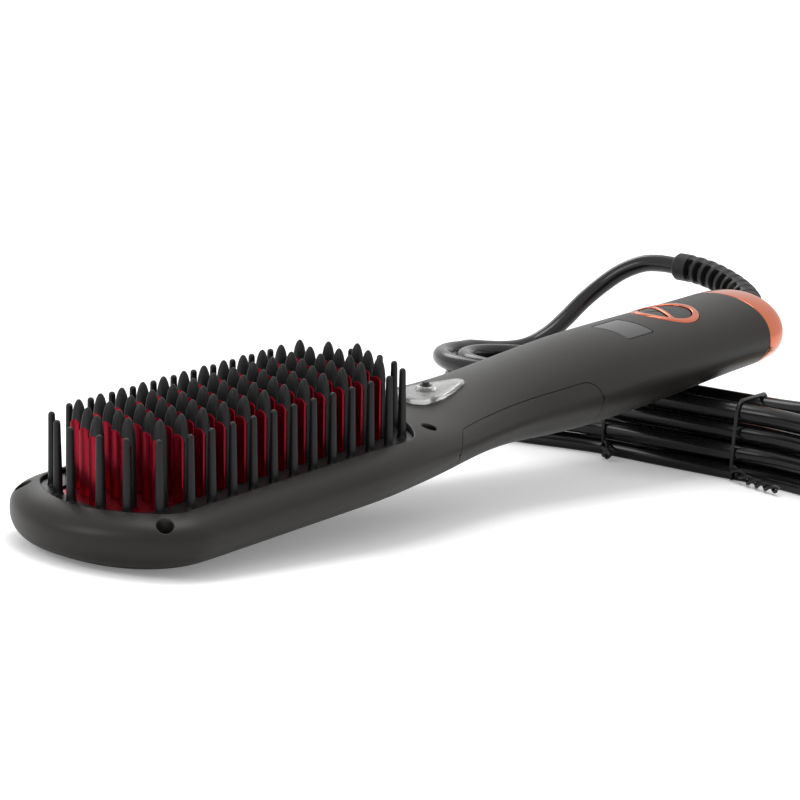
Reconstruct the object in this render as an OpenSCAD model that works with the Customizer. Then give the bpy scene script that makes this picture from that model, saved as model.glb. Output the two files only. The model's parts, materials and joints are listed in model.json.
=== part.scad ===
// Steam hair straightener brush with its cord tied in a hank under the handle.
// Millimetres. The brush is drawn lengthways on X, teeth up, with the middle of the
// tooth field at zero and the deck that the teeth stand on at z = 0. lie() then lays
// it down as it rests: head on the table, handle on the hank. Table top is z = 0.

/* [Casing] */
// Widest width of the head
head_w = 59; // [57:0.5:62]
// Distance from the middle of the tooth field to the round end of the head
head_reach = 59.6; // [58.5:0.1:61]
// Radius of the round end of the head, seen from above
head_end_r = 35.7; // [34:0.1:38]
// Radius of the corners between head end and head side
head_corner_r = 16; // [14:0.5:18]
// Width of the neck
neck_w = 36.4; // [34:0.2:38]
// Width of the grip
grip_w = 37.2; // [35:0.2:39]
// Width of the grip where the end ring sits
end_w = 35.2; // [34:0.2:37]
// Distance from the middle of the tooth field to the end ring
grip_end = 213; // [205:1:225]
// Height of the casing top above the deck beside the teeth
head_top = 3; // [2.6:0.1:3.4]
// Height of the neck top above the deck
neck_top = 1.2; // [0.8:0.1:1.8]
// Height of the grip top above the deck
grip_top = 5; // [4.4:0.1:5.6]
// Depth of the head underside below the deck
head_deep = 13.6; // [13.2:0.1:15]
// Depth of the grip underside below the deck
grip_deep = 18.9; // [18.4:0.1:20]
// Depth of the joint line between upper and lower shell below the deck
split_deep = 6.2; // [5.8:0.1:6.8]
// Wall of the casing
wall = 2; // [1.6:0.1:2.2]
// Gap between parts that fit into each other
fit = 0.25; // [0.2:0.05:0.35]

/* [Teeth] */
// From the last tooth of the middle row to the end of the heat plate's opening
end_margin = 2.8; // [2.6:0.1:3.2]
// From the outer row of teeth to the side of the heat plate's opening
side_margin = 3; // [2.7:0.1:3.2]
// From the line of guard rods to the edge of the opening in the casing
rod_margin = 2.8; // [2.4:0.1:3.2]
// Teeth in each outer row; the rows inside it have one more and two more
outer_row_teeth = 12; // [10:1:12]
// Height of the tooth tips above the deck
tip_h = 20.4; // [18:0.1:22]
// Height of the pointed tip alone
ogive_h = 5.1; // [4:0.1:6]
// Diameter of a tooth cap
cap_d = 4.3; // [4.1:0.1:4.5]
// Width of a heated blade
blade_w = 3.7; // [3.4:0.1:3.8]
// Thickness of a heated blade
blade_t = 0.8; // [0.6:0.1:1]
// Height of the blade tops above the deck
blade_h = 15.9; // [14:0.1:16.2]
// Height of the guard rods above the deck
rod_h = 17.6; // [15:0.1:19]
// Diameter of a guard rod at its foot
rod_d = 2; // [1.8:0.1:2.2]
// Diameter of a guard rod below its round top
rod_top_d = 1.7; // [1.5:0.1:1.8]

/* [Tooth bed] */
// Width of the casing's rim round the tooth bed
rim_w = 7.2; // [6.8:0.1:7.6]
// Thickness of the frame that carries the guard rods
frame_t = 2; // [1.6:0.1:2.4]
// Width of that frame at the ends, from the opening in to the heat plate
frame_band = 4.1; // [3.9:0.1:4.2]
// How far the heat plate lies below the deck
plate_drop = 0.6; // [0.4:0.1:0.9]
// Thickness of the heat plate flange
flange_t = 1.5; // [1.2:0.1:1.8]
// Thickness of the ceramic heaters
heater_t = 1.6; // [1.2:0.1:2]
// Thickness of the sheet that insulates the heaters
mica_t = 0.4; // [0.3:0.1:0.5]
// Thickness of the clamp plate under the heaters
clamp_t = 0.8; // [0.6:0.1:1]

/* [Screws] */
// Diameter of the screw wells in the upper shell
well_d = 3.8; // [3.6:0.1:4]
// Diameter of a screw head
screw_head_d = 3.2; // [3:0.1:3.4]
// Diameter of a screw shank
screw_d = 2; // [1.8:0.1:2.2]
// Length of a screw shank
screw_len = 4.2; // [3.6:0.1:4.4]

/* [Water tank] */
// Where the tank starts along the brush
tank_x0 = 57; // [56.5:0.5:58]
// Where the tank ends along the brush
tank_x1 = 128; // [122:1:132]
// Depth of the top edge of the tank below the deck
tank_top_deep = 1.7; // [1.5:0.1:2]
// Gap all round the tank
tank_gap = 0.3; // [0.25:0.05:0.4]
// Where the filler sits along the brush
filler_x = 73.5; // [72:0.5:76]
// Outer diameter of the filler neck of the tank
filler_d = 7.6; // [7:0.2:8]
// Bore of the filler neck
filler_bore = 5; // [4.6:0.1:5.4]
// Length of the clear stopper with its tongue
stopper_l = 24; // [22:0.5:26]
// Width of the clear stopper
stopper_w = 11.6; // [10:0.2:12]
// Thickness of the clear stopper
stopper_t = 1.5; // [1.2:0.1:2]

/* [Controls] */
// Middle of the display along the brush
display_x = 158.8; // [157:0.2:160]
// How far the display sits towards the thumb side
display_y = -2.6; // [-3:0.2:0]
// Length of the display along the brush
display_l = 12.4; // [12:0.2:13]
// Width of the display across the brush
display_w = 12.4; // [12:0.2:14]
// Middle of the round bezel along the brush
bezel_x = 184; // [183:0.2:186]
// Outer diameter of the bezel
bezel_d = 20.4; // [19:0.2:21]
// Width of the bezel band
bezel_band = 2; // [1.6:0.1:2.2]
// Width of the bar across the bezel
bar_w = 1.3; // [1:0.1:1.6]
// How far the bar lies off the middle of the bezel
bar_off = 1.1; // [0:0.1:2]
// Direction that the bar faces, from the cord end towards the far side
bezel_turn = 148; // [140:1:155]
// How far the bezel stands proud of the casing
bezel_proud = 0.3; // [0.2:0.05:0.4]
// Travel of the buttons
press = 0.6; // [0.4:0.05:0.8]

/* [Grip end] */
// Length of the metal look end ring
ring_l = 10; // [8:0.5:12]
// Width across the end ring at its far edge
ring_far_w = 30.4; // [29:0.2:32]
// Height of the end ring at its far edge
ring_far_h = 20.4; // [19.6:0.2:21]
// Diameter of the guard root in the end cap
root_d = 13; // [12:0.5:14]
// Diameter of the ribbed part of the cord guard
guard_d = 8.6; // [8.2:0.1:9.4]
// Ribs on the cord guard
guard_ribs = 10; // [6:1:12]

/* [Cord] */
// Diameter of the cord
cord_d = 5.4; // [5:0.1:5.6]
// Free space between neighbouring strands of the hank
strand_gap = 0.5; // [0.5:0.05:0.6]
// Distance from the middle of the hank to the centre of its folds
fold_reach = 62; // [60:1:70]
// Radius of the tightest fold, measured to the middle of the cord
fold_r = 16.2; // [16:0.2:18]
// Step from one loop to the next
loop_step = 6.8; // [6.6:0.1:7.2]
// Half length of the drawn in waist
waist_half = 21; // [18:1:22]
// Loops in one layer of the hank
layer_turns = 1.5; // [1.5:1:2.5]
// Diameter of the wire ties
tie_d = 1.6; // [1.4:0.1:1.8]

/* [Resting place] */
// Slope of the brush, head down and handle on the hank
lie_angle = 7.05; // [7:0.05:7.4]

/* [Hidden] */

// Smooth step from 0 to 1, and a smooth change from a to b between two places.
function ease(u) = let (c = min(max(u, 0), 1)) c * c * (3 - 2 * c);
function shift(x, x0, x1, a, b) = a + (b - a) * ease((x - x0) / (x1 - x0));
function lerp(a, b, u) = a + (b - a) * u;

// ---------- casing surface ----------
// The head outline has straight sides, round corners and a wider round end.
head_half = head_w / 2;
end_mid = head_reach - head_end_r;
function barrel_corner_y(hy, rc) = hy - rc;
function barrel_corner_x(hx, hy, re, rc) = hx - re + sqrt(pow(re - rc, 2) - pow(hy - rc, 2));
function barrel_touch_x(hx, hy, re, rc) =
    hx - re + re * (barrel_corner_x(hx, hy, re, rc) - hx + re) / (re - rc);
function barrel_y(x, hx, hy, re, rc) =
    let (cx = barrel_corner_x(hx, hy, re, rc), tx = barrel_touch_x(hx, hy, re, rc))
    x <= cx ? hy
    : x <= tx ? hy - rc + sqrt(max(rc * rc - pow(x - cx, 2), 0))
    : sqrt(max(re * re - pow(x - hx + re, 2), 0));

// Outline points of a bed shaped part, inset from the casing's own outline.
corner_steps = 5;
end_steps = 8;
function barrel_quarter(inset, squeeze) =
    let (hx = head_reach - inset, hy = head_half - inset - squeeze)
    let (re = head_end_r - inset, rc = head_corner_r - inset)
    let (cx = barrel_corner_x(hx, hy, re, rc), cy = hy - rc)
    let (turn = atan2(cy, cx - hx + re))
    concat(
        [for (i = [0:end_steps - 1]) let (a = turn * i / end_steps)
            [hx - re + re * cos(a), re * sin(a)]],
        [for (i = [0:corner_steps]) let (a = lerp(turn, 90, i / corner_steps))
            [cx + rc * cos(a), cy + rc * sin(a)]]);
function back_to_front(list) = [for (i = [len(list) - 1:-1:0]) list[i]];
function barrel(inset, squeeze = 0) =
    let (q = barrel_quarter(inset, squeeze))
    concat(q, [for (p = back_to_front(q)) [-p[0], p[1]]],
        [for (i = [1:len(q) - 1]) [-q[i][0], -q[i][1]]],
        [for (i = [len(q) - 1:-1:1]) [q[i][0], -q[i][1]]]);
rim_inset = rim_w;
bed_reach = head_reach - rim_inset;
bed_half = head_half - rim_inset;

// Where the profile curves of neck and grip begin and end.
head_to_neck = [18, 104];
neck_to_grip = [104, 150];
grip_to_end = [150, grip_end];
function half_w(x) =
    x < 0 ? barrel_y(-x, head_reach, head_half, head_end_r, head_corner_r)
    : x < head_to_neck[1] ? shift(x, head_to_neck[0], head_to_neck[1], head_half, neck_w / 2)
    : x < neck_to_grip[1] ? shift(x, neck_to_grip[0], neck_to_grip[1], neck_w / 2, grip_w / 2)
    : shift(x, grip_to_end[0], grip_to_end[1], grip_w / 2, end_w / 2);
top_drop = [38, 68];
top_rise = [66, 148];
end_top = 0.6;
function top_z(x) = shift(x, top_drop[0], top_drop[1], head_top, neck_top)
    + shift(x, top_rise[0], top_rise[1], 0, grip_top - neck_top)
    - shift(x, grip_to_end[0], grip_to_end[1], 0, end_top);
deep_fall = [60, 140];
end_deep = 1.3;
function low_z(x) = -shift(x, deep_fall[0], deep_fall[1], head_deep, grip_deep)
    + shift(x, grip_to_end[0], grip_to_end[1], 0, end_deep);
// Fullness of the cross section: 1 is an ellipse, less is squarer.
head_round = 0.75;
grip_round = 0.95;
function roundness(x) = shift(x, 45, 100, head_round, grip_round);

// Points of the casing section at x, moved inwards by inset.
ring_n = 32;
function closing(x, inset) =
    let (start = head_reach - head_half, u = (-x - start) / (head_half - inset))
    u <= 0 ? 1 : pow(max(1 - pow(min(u, 1), 2 / head_round), 0), head_round / 2);
function in_half_w(x, inset) = x < 0
    ? barrel_y(-x, head_reach - inset, head_half - inset, head_end_r - inset,
        head_corner_r - inset)
    : half_w(x) - inset;
function section(x, inset) =
    let (mid = (top_z(x) + low_z(x)) / 2, k = closing(x, inset), e = roundness(x))
    let (w = in_half_w(x, inset), h = (top_z(x) - low_z(x)) / 2 - inset)
    [for (i = [0:ring_n - 1]) let (a = 360 * i / ring_n)
        [x, w * sign(cos(a)) * pow(abs(cos(a)), e),
            mid + h * k * sign(sin(a)) * pow(abs(sin(a)), e)]];
// Stations lie closer together round the head end.
nose_n = 8;
body_step = 12;
tiny = 0.02;
function stations(inset, last) =
    let (start = head_reach - head_half, span = head_half - inset - tiny)
    let (n = round((last + start) / body_step))
    concat([for (i = [0:nose_n]) -start - span * cos(90 * i / nose_n)],
        [for (i = [1:n]) lerp(-start, last, i / n)]);

// A closed skin through rings of equal size.
function skin_faces(rings, n) = concat(
    [[for (i = [0:n - 1]) i]],
    [for (r = [0:rings - 2], i = [0:n - 1]) let (j = (i + 1) % n)
        [r * n + i, (r + 1) * n + i, (r + 1) * n + j]],
    [for (r = [0:rings - 2], i = [0:n - 1]) let (j = (i + 1) % n)
        [r * n + i, (r + 1) * n + j, r * n + j]],
    [[for (i = [n - 1:-1:0]) (rings - 1) * n + i]]);
module skin(rings) {
    n = len(rings[0]);
    polyhedron([for (r = rings) each r], skin_faces(len(rings), n), convexity = 6);
}
module body(inset, last) {
    skin([for (x = stations(inset, last)) section(x, inset)]);
}
// The same surface between two places only, on the same stations.
module body_part(inset, x0, x1) {
    all = stations(0, grip_end);
    skin([for (x = all) if (x > x0 - body_step && x < x1 + body_step) section(x, inset)]);
}

// Outline of the end ring: u is the place along it, k how far it has drawn in.
ring_n2 = 40;
function oval(x, w, h, mid) = [for (i = [0:ring_n2 - 1]) let (a = 360 * i / ring_n2)
    [x, w * sign(cos(a)) * pow(abs(cos(a)), grip_round),
        mid + h * sign(sin(a)) * pow(abs(sin(a)), grip_round)]];
end_mid_z = (top_z(grip_end) + low_z(grip_end)) / 2;
end_half_h = (top_z(grip_end) - low_z(grip_end)) / 2;
ring_swell = [[0, 0], [0.35, 0.06], [0.62, 0.2], [0.82, 0.46], [0.94, 0.74], [1, 1]];
function ring_oval(u, k, inset) = oval(grip_end + ring_l * u,
    lerp(end_w / 2, ring_far_w / 2, k) - inset, lerp(end_half_h, ring_far_h / 2, k) - inset,
    end_mid_z);

// ---------- resting place ----------
// The lowest point of the head lies on the table, and the middle of the brush over zero.
function lean_x(p) = p[0] * cos(lie_angle) - p[2] * sin(lie_angle);
function lean_z(p) = p[0] * sin(lie_angle) + p[2] * cos(lie_angle);
skin_points = [for (x = stations(0, grip_end)) each section(x, 0)];
ring_rim = ring_oval(1, 1, 0);
lie_z = -min([for (p = skin_points) lean_z(p)]);
lie_x = -(min([for (p = skin_points) lean_x(p)]) + max([for (p = ring_rim) lean_x(p)])) / 2;

// ---------- small helpers ----------
module lie() {
    translate([lie_x, 0, lie_z]) rotate([0, -lie_angle, 0]) children();
}
function to_table(p) = [
    lean_x(p) + lie_x, p[1], lean_z(p) + lie_z];
module block(x0, x1, y0, y1, z0, z1) {
    translate([x0, y0, z0]) cube([x1 - x0, y1 - y0, z1 - z0]);
}
module slab(inset, z0, z1, squeeze = 0) {
    translate([0, 0, z0]) linear_extrude(z1 - z0) polygon(barrel(inset, squeeze));
}
module rounded(l, w, r) {
    for (sx = [-1, 1], sy = [-1, 1])
        translate([sx * (l / 2 - r), sy * (w / 2 - r)]) circle(r, $fn = 24);
    square([l - 2 * r, w], center = true);
    square([l, w - 2 * r], center = true);
}

// ---------- teeth ----------
rows = [-2, -1, 0, 1, 2];
rod_y = bed_half - rod_margin;
row_pitch = rod_y / 3;
tooth_pitch = (bed_reach - frame_band - end_margin) / ((row_count(0) - 1) / 2);
function row_count(r) = outer_row_teeth + 2 - abs(r);
function row_x(r, i) = (i - (row_count(r) - 1) / 2) * tooth_pitch;
plate_top = -plate_drop;
blade_back = 0.4;

module at_teeth() {
    for (r = rows, i = [0:row_count(r) - 1])
        translate([row_x(r, i), r * row_pitch, 0]) children();
}
// A pointed cap stands behind its blade and closes over the top of it.
cap_r = cap_d / 2;
ogive_n = 6;
module cap_shape() {
    base_z = tip_h - ogive_h;
    rotate_extrude($fn = 20) polygon(concat(
        [[0, plate_top], [cap_r, plate_top], [cap_r, base_z]],
        [for (i = [1:ogive_n - 1]) let (u = i / ogive_n)
            [cap_r * pow(1 - pow(u, 1.7), 0.8), base_z + ogive_h * u]],
        [[0, tip_h]]));
}
cap_play = 0.05;
module tooth_cap() {
    difference() {
        cap_shape();
        block(-cap_r - 1, -blade_back + cap_play, -cap_r - 1, cap_r + 1,
            plate_top - 1, blade_h - blade_w / 2);
        translate([-cap_r - 1, 0, blade_h - blade_w / 2]) rotate([0, 90, 0])
            cylinder(h = cap_r + 1 - blade_back + cap_play, d = blade_w + 2 * cap_play, $fn = 24);
    }
}
module blade() {
    translate([-blade_back, 0, 0]) rotate([0, -90, 0]) linear_extrude(blade_t) {
        translate([plate_top, -blade_w / 2]) square([blade_h - blade_w / 2 - plate_top, blade_w]);
        translate([blade_h - blade_w / 2, 0]) circle(d = blade_w, $fn = 24);
    }
}

// Guard rods stand in a line along each side and follow the round ends.
side_rods = outer_row_teeth - 1;
rod_end_r = head_end_r - rim_inset - rod_margin - 0.1;
rod_end_turns = [10.6, 25.8, 42.4];
module at_rods() {
    for (sy = [-1, 1], i = [0:side_rods - 1])
        translate([(i - (side_rods - 1) / 2) * tooth_pitch, sy * rod_y, 0]) children();
    for (sx = [-1, 1], sy = [-1, 1], a = rod_end_turns)
        translate([sx * (end_mid + rod_end_r * cos(a)), sy * rod_end_r * sin(a), 0]) children();
}
module guard_rod() {
    rotate_extrude($fn = 16) polygon(concat(
        [[0, 0], [rod_d / 2, 0]],
        [for (i = [0:3]) let (a = 90 * i / 4)
            [rod_top_d / 2 * cos(a), rod_h - rod_top_d / 2 * (1 - sin(a))]],
        [[0, rod_h]]));
}

// ---------- tooth bed ----------
frame_inset = rim_inset + fit;
window_inset = rim_inset + frame_band;
frame_squeeze = head_half - window_inset - 2 * row_pitch - side_margin;
module comb_frame() {
    color("#1d1d1d") lie() difference() {
        slab(frame_inset, -frame_t, 0);
        slab(window_inset, -frame_t - 1, 1, frame_squeeze);
    }
}
module guard_rods() {
    color("#1d1d1d") lie() at_rods() guard_rod();
}

flange_inset = rim_inset + 3;
flange_low = -frame_t - flange_t;
vent_d = 1.6;
vents = [-4:4];
module heat_plate() {
    color("#8e1830") lie() {
        difference() {
            union() {
                slab(window_inset + fit, -frame_t - 0.01, plate_top, frame_squeeze);
                slab(flange_inset, flange_low, -frame_t);
                for (sx = [-1, 1], sy = [-1, 1])
                    translate([sx * clamp_x, sy * clamp_y, stud_low])
                        cylinder(h = flange_low - stud_low + 0.01, d = stud_d, $fn = 24);
            }
            for (v = vents) translate([v * tooth_pitch, 0, flange_low - 1])
                cylinder(h = frame_t + flange_t + 2, d = vent_d, $fn = 16);
            for (sx = [-1, 1], sy = [-1, 1])
                translate([sx * clamp_x, sy * clamp_y, stud_low - 1])
                    cylinder(h = 3.4, d = clamp_screw_d, $fn = 24);
        }
    }
}
module heat_blades() {
    color("#8e1830") lie() at_teeth() blade();
}
module tooth_caps() {
    color("#202020") lie() at_teeth() tooth_cap();
}

heater_l = 62;
heater_w = 9;
heater_y = 9.4;
heater_low = flange_low - heater_t;
module heaters() {
    color("#e9e4da") lie() for (s = [-1, 1])
        block(-heater_l / 2, heater_l / 2, s * heater_y - heater_w / 2,
            s * heater_y + heater_w / 2, heater_low, flange_low);
}
mica_low = heater_low - mica_t;
sheet_l = 78;
sheet_w = 30;
module steam_slot(z0, z1) {
    block(-steam_l / 2 - fit, steam_l / 2 + fit, -steam_w / 2 - fit, steam_w / 2 + fit, z0, z1);
    block(0, steam_l / 2 + spout_l, -spout_d / 2 - fit, spout_d / 2 + fit, z0, z1);
}
module insulation() {
    color("#c9b48a") lie() difference() {
        block(-sheet_l / 2, sheet_l / 2, -sheet_w / 2, sheet_w / 2, mica_low, heater_low);
        steam_slot(mica_low - 1, heater_low + 1);
        for (sx = [-1, 1], sy = [-1, 1]) translate([sx * clamp_x, sy * clamp_y, mica_low - 1])
            cylinder(h = 3, d = stud_d + 2 * fit, $fn = 24);
    }
}
clamp_x = 35.5;
clamp_y = 11;
stud_d = 4;
stud_low = mica_low;
clamp_low = mica_low - clamp_t;
clamp_screw_d = 2;
module heater_clamp() {
    color("#b9bcbe") lie() difference() {
        block(-sheet_l / 2, sheet_l / 2, -sheet_w / 2, sheet_w / 2, clamp_low, mica_low);
        steam_slot(clamp_low - 1, mica_low + 1);
        for (sx = [-1, 1], sy = [-1, 1]) translate([sx * clamp_x, sy * clamp_y, clamp_low - 1])
            cylinder(h = 3, d = clamp_screw_d + fit, $fn = 24);
    }
}
clamp_screw_len = 2.2;
clamp_head_d = 3.8;
clamp_head_h = 1.2;
module clamp_screws() {
    color("#9a9da0") lie() for (sx = [-1, 1], sy = [-1, 1])
        translate([sx * clamp_x, sy * clamp_y, clamp_low]) {
            cylinder(h = clamp_t + clamp_screw_len, d = clamp_screw_d - 0.1, $fn = 24);
            difference() {
                translate([0, 0, -clamp_head_h])
                    cylinder(h = clamp_head_h, d = clamp_head_d, $fn = 24);
                for (a = [0, 90]) rotate(a) block(-1.1, 1.1, -0.25, 0.25,
                    -clamp_head_h - 1, -clamp_head_h + 0.6);
            }
        }
}
fuse_l = 11;
fuse_d = 2.2;
fuse_y = 6;
module thermal_fuse() {
    color("#d8d2c0") lie() translate([-20, fuse_y, clamp_low - fuse_d / 2]) rotate([0, 90, 0]) {
        cylinder(h = fuse_l, d = fuse_d, center = true, $fn = 24);
        cylinder(h = fuse_l + 8, d = 0.8, center = true, $fn = 16);
    }
}
// Steam box under the vents, fed by a spout that points at the tank.
steam_l = 68;
steam_w = 7.4;
steam_h = 5;
steam_low = flange_low - steam_h;
spout_d = 3;
spout_l = 6;
module steam_box() {
    color("#a7a9ab") lie() {
        difference() {
            block(-steam_l / 2, steam_l / 2, -steam_w / 2, steam_w / 2, steam_low, flange_low);
            block(-steam_l / 2 + 1, steam_l / 2 - 1, -steam_w / 2 + 1, steam_w / 2 - 1,
                steam_low + 1, flange_low + 1);
            translate([steam_l / 2 - 3, 0, steam_low + steam_h / 2]) rotate([0, 90, 0])
                cylinder(h = 10, d = spout_d - 1.4, $fn = 24);
        }
        difference() {
            translate([steam_l / 2 - 0.5, 0, steam_low + steam_h / 2]) rotate([0, 90, 0])
                cylinder(h = spout_l + 0.5, d = spout_d, $fn = 24);
            translate([steam_l / 2 - 3, 0, steam_low + steam_h / 2]) rotate([0, 90, 0])
                cylinder(h = spout_l + 6, d = spout_d - 1.4, $fn = 24);
        }
    }
}

// ---------- shells ----------
// Cuts run this far past the casing.
past = 40;
split_z = -split_deep;
case_screw_spots = [[12.7 - head_reach, head_half - 6.6],
    [head_reach - 7, head_half - 11.4]];
post_d = 6;
well_floor = 1.4;
well_z = split_z + well_floor;
module at_case_screws() {
    for (p = case_screw_spots, sy = [-1, 1]) translate([p[0], sy * p[1], 0]) children();
}
module half_space(z0, z1) {
    block(-head_reach - 5, grip_end, -head_half - 5, head_half + 5, z0, z1);
}
shelf_t = 1.6;
module tank_zone(gap) {
    top = -tank_top_deep - gap;
    r = 7;
    translate([0, past, 0]) rotate([90, 0, 0]) linear_extrude(2 * past) {
        translate([tank_x0 + gap, -past])
            square([tank_x1 - tank_x0 - 2 * gap, past + top - r]);
        translate([tank_x0 + gap + r, -past])
            square([tank_x1 - tank_x0 - 2 * gap - 2 * r, past + top]);
        for (x = [tank_x0 + gap + r, tank_x1 - gap - r])
            translate([x, top - r]) circle(r, $fn = 32);
    }
}
channel_w = 20;
channel_low = -6.6;
// A spine under the neck carries the tube and wires over the tank.
spine_half = channel_w / 2 - tank_gap;
spine_low = channel_low + tank_gap;
spine_wall = 1.1;
module spine(gap) {
    block(tank_x0 - 1, tank_x1 + 1, -spine_half - gap, spine_half + gap, spine_low - gap, 0);
}
module upper_shell() {
    color("#3c3a39") lie() difference() {
        intersection() {
            body(0, grip_end);
            union() {
                difference() {
                    half_space(split_z, past);
                    body(wall, grip_end + 5);
                }
                difference() {
                    slab(wall + 0.4, -frame_t - shelf_t, -frame_t);
                    slab(rim_inset + 1.5, -frame_t - shelf_t - 1, 1);
                }
                at_case_screws() translate([0, 0, split_z])
                    cylinder(h = 10, d = post_d, $fn = 32);
                spine(0);
            }
        }
        slab(rim_inset, -frame_t, past);
        at_case_screws() {
            translate([0, 0, well_z]) cylinder(h = past, d = well_d, $fn = 32);
            translate([0, 0, split_z - 1]) cylinder(h = past, d = screw_d + fit, $fn = 32);
        }
        difference() {
            tank_zone(0);
            spine(0);
        }
        // The channel for tube and wires ends in a notch under the edge of the tooth bed.
        block(bed_reach - 3, tank_x1 + 2, -spine_half + spine_wall, spine_half - spine_wall,
            spine_low + spine_wall, neck_top - wall);
        translate([filler_x, 0, -past])
            cylinder(h = 2 * past, d = filler_d + 2 * tank_gap, $fn = 48);
        translate([display_x, display_y, board_z]) linear_extrude(past)
            rounded(display_l, display_w, 0.8);
        translate([bezel_x, 0, board_z]) cylinder(h = past, d = bezel_d, $fn = 96);
    }
}
boss_d = 5.4;
module base_shell() {
    difference() {
        half_space(-past, split_z);
        body(wall, grip_end + 5);
    }
}
module head_base() {
    color("#363433") lie() difference() {
        intersection() {
            body(0, grip_end);
            union() {
                base_shell();
                at_case_screws() translate([0, 0, -past])
                    cylinder(h = past + split_z, d = boss_d, $fn = 32);
            }
            half_space(-past, 0);
        }
        block(tank_x0, grip_end + 1, -past, past, -past, past);
        at_case_screws() translate([0, 0, well_z - screw_len - 0.5])
            cylinder(h = past, d = screw_d, $fn = 32);
    }
}
module grip_base() {
    color("#363433") lie() intersection() {
        body_part(0, tank_x1, grip_end);
        difference() {
            block(tank_x1, grip_end, -past, past, -past, split_z);
            body_part(wall, tank_x1, grip_end);
        }
    }
}
module case_screws() {
    color("#2b2b2b") lie() at_case_screws() translate([0, 0, well_z]) {
        translate([0, 0, -screw_len]) cylinder(h = screw_len + 0.01, d = screw_d - 0.1, $fn = 24);
        difference() {
            cylinder(h = 1.4, d = screw_head_d, $fn = 24);
            for (a = [0, 90]) rotate(a) block(-1, 1, -0.25, 0.25, 0.8, 3);
        }
    }
}

// ---------- water tank ----------
tank_wall = 1.6;
neck_rise = -0.4;
module water_tank() {
    color("#343231") lie() difference() {
        union() {
            intersection() {
                body_part(0, tank_x0, tank_x1);
                tank_zone(tank_gap);
                difference() {
                    block(tank_x0, tank_x1, -past, past, -past, 0);
                    block(tank_x0 - 1, tank_x1 + 1, -channel_w / 2, channel_w / 2,
                        channel_low, past);
                }
            }
            translate([filler_x, 0, channel_low - 1])
                cylinder(h = neck_rise - channel_low + 1, d = filler_d, $fn = 48);
        }
        intersection() {
            body_part(wall, tank_x0, tank_x1);
            block(tank_x0 + tank_wall + tank_gap, tank_x1 - tank_wall - tank_gap, -past, past,
                -past, channel_low - tank_wall);
        }
        translate([filler_x, 0, 2 * channel_low]) cylinder(h = past, d = filler_bore, $fn = 48);
    }
}
stopper_seat = 0.15;
stopper_z = neck_top + stopper_seat;
shank_len = 5.4;
boss_r = 2.7;
boss_rise = 1.1;
valve_d = 3.2;
module stopper_outline() {
    tip_r = 2;
    tail_x = stopper_l - stopper_w / 2 - tip_r;
    hull() {
        circle(stopper_w / 2, $fn = 48);
        translate([tail_x, 0]) circle(tip_r, $fn = 24);
    }
    translate([-4, 0]) rounded(10, stopper_w, 3);
}
module filler_stopper() {
    color("#c9cdcf") lie() difference() {
        union() {
            difference() {
                translate([filler_x, 0, -1]) linear_extrude(stopper_z + stopper_t + 1)
                    stopper_outline();
                body_part(-stopper_seat, filler_x - stopper_l, filler_x + stopper_l);
            }
            translate([filler_x, 0, stopper_z])
                cylinder(h = stopper_t + boss_rise, r = boss_r, $fn = 48);
            translate([filler_x, 0, stopper_z - shank_len])
                cylinder(h = shank_len + 0.01, d = filler_bore - 0.3, $fn = 48);
        }
        translate([filler_x, 0, stopper_z + 0.6]) cylinder(h = 10, d = valve_d, $fn = 32);
    }
}
module filler_valve() {
    color("#2a2826") lie() translate([filler_x, 0, stopper_z + 0.6]) {
        cylinder(h = 2.2, d = valve_d - 0.2, $fn = 32);
        translate([0, 0, 2.19]) cylinder(h = 0.8, d = 1.8, $fn = 24);
    }
}

// ---------- pump, tube and board in the grip ----------
pump_x0 = 141;
pump_l = 22;
pump_d = 11;
pump_z = -11.2;
module pump() {
    color("#dcdfe2") lie() {
        translate([pump_x0, 0, pump_z]) rotate([0, 90, 0]) cylinder(h = pump_l, d = pump_d, $fn = 48);
        intersection() {
            block(pump_x0 + 1, pump_x0 + pump_l - 1, -pump_d / 2, pump_d / 2, -30, pump_z);
            body_part(wall + fit, pump_x0, pump_x0 + pump_l);
        }
        translate([pump_x0 - 2, 0, nozzle_z]) rotate([0, 90, 0])
            cylinder(h = 3, d = tube_od, $fn = 24);
    }
}
// Soft tube from the pump along the channel over the tank to the steam box.
tube_od = 3;
nozzle_z = pump_z + 2.6;
tube_low = steam_low + steam_h / 2;
tube_path = [[pump_x0 - 2, 0, nozzle_z], [137.2, 0, nozzle_z], [135, 1, -7.2], [132.4, 3, -4.9],
    [129.4, 5, -3.5], [124, 6.4, -3.2], [96, 6.4, -3.2], [72, 6.4, -3.2], [61, 6.2, -3.3],
    [57.4, 5.4, -3.4], [54, 4, -4.1], [51, 2.4, -5.2], [48, 1, tube_low], [45, 0, tube_low],
    [steam_l / 2 + spout_l, 0, tube_low]];
module water_tube() {
    color("#d9d2c4") lie() tube(tube_path, tube_od / 2, 8);
}
board_x0 = 147;
board_l = 54;
board_w = 25;
board_t = 1.2;
board_z = -3.6;
module main_board() {
    color("#2f5d3a") lie() difference() {
        block(board_x0, board_x0 + board_l, -board_w / 2, board_w / 2, board_z - board_t, board_z);
        for (x = [3, board_l - 3], s = [-1, 1])
            translate([board_x0 + x, s * (board_w / 2 - 2.5), board_z - 5])
                cylinder(h = 10, d = 2.2, $fn = 24);
    }
}
window_low = 1;
module display_module() {
    color("#8f9496") lie() block(display_x - display_l / 2 - 1.5, display_x + display_l / 2 + 1.5,
        display_y - display_w / 2 - 1, display_y + display_w / 2 + 1, board_z, window_low - 0.4);
}
// The window has the casing's own surface on top.
module display_window() {
    color("#53555a") lie() intersection() {
        body_part(0.05, display_x - display_l, display_x + display_l);
        translate([display_x, display_y, window_low - 0.4]) linear_extrude(20)
            rounded(display_l - 2 * fit, display_w - 2 * fit, 0.6);
    }
}

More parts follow.
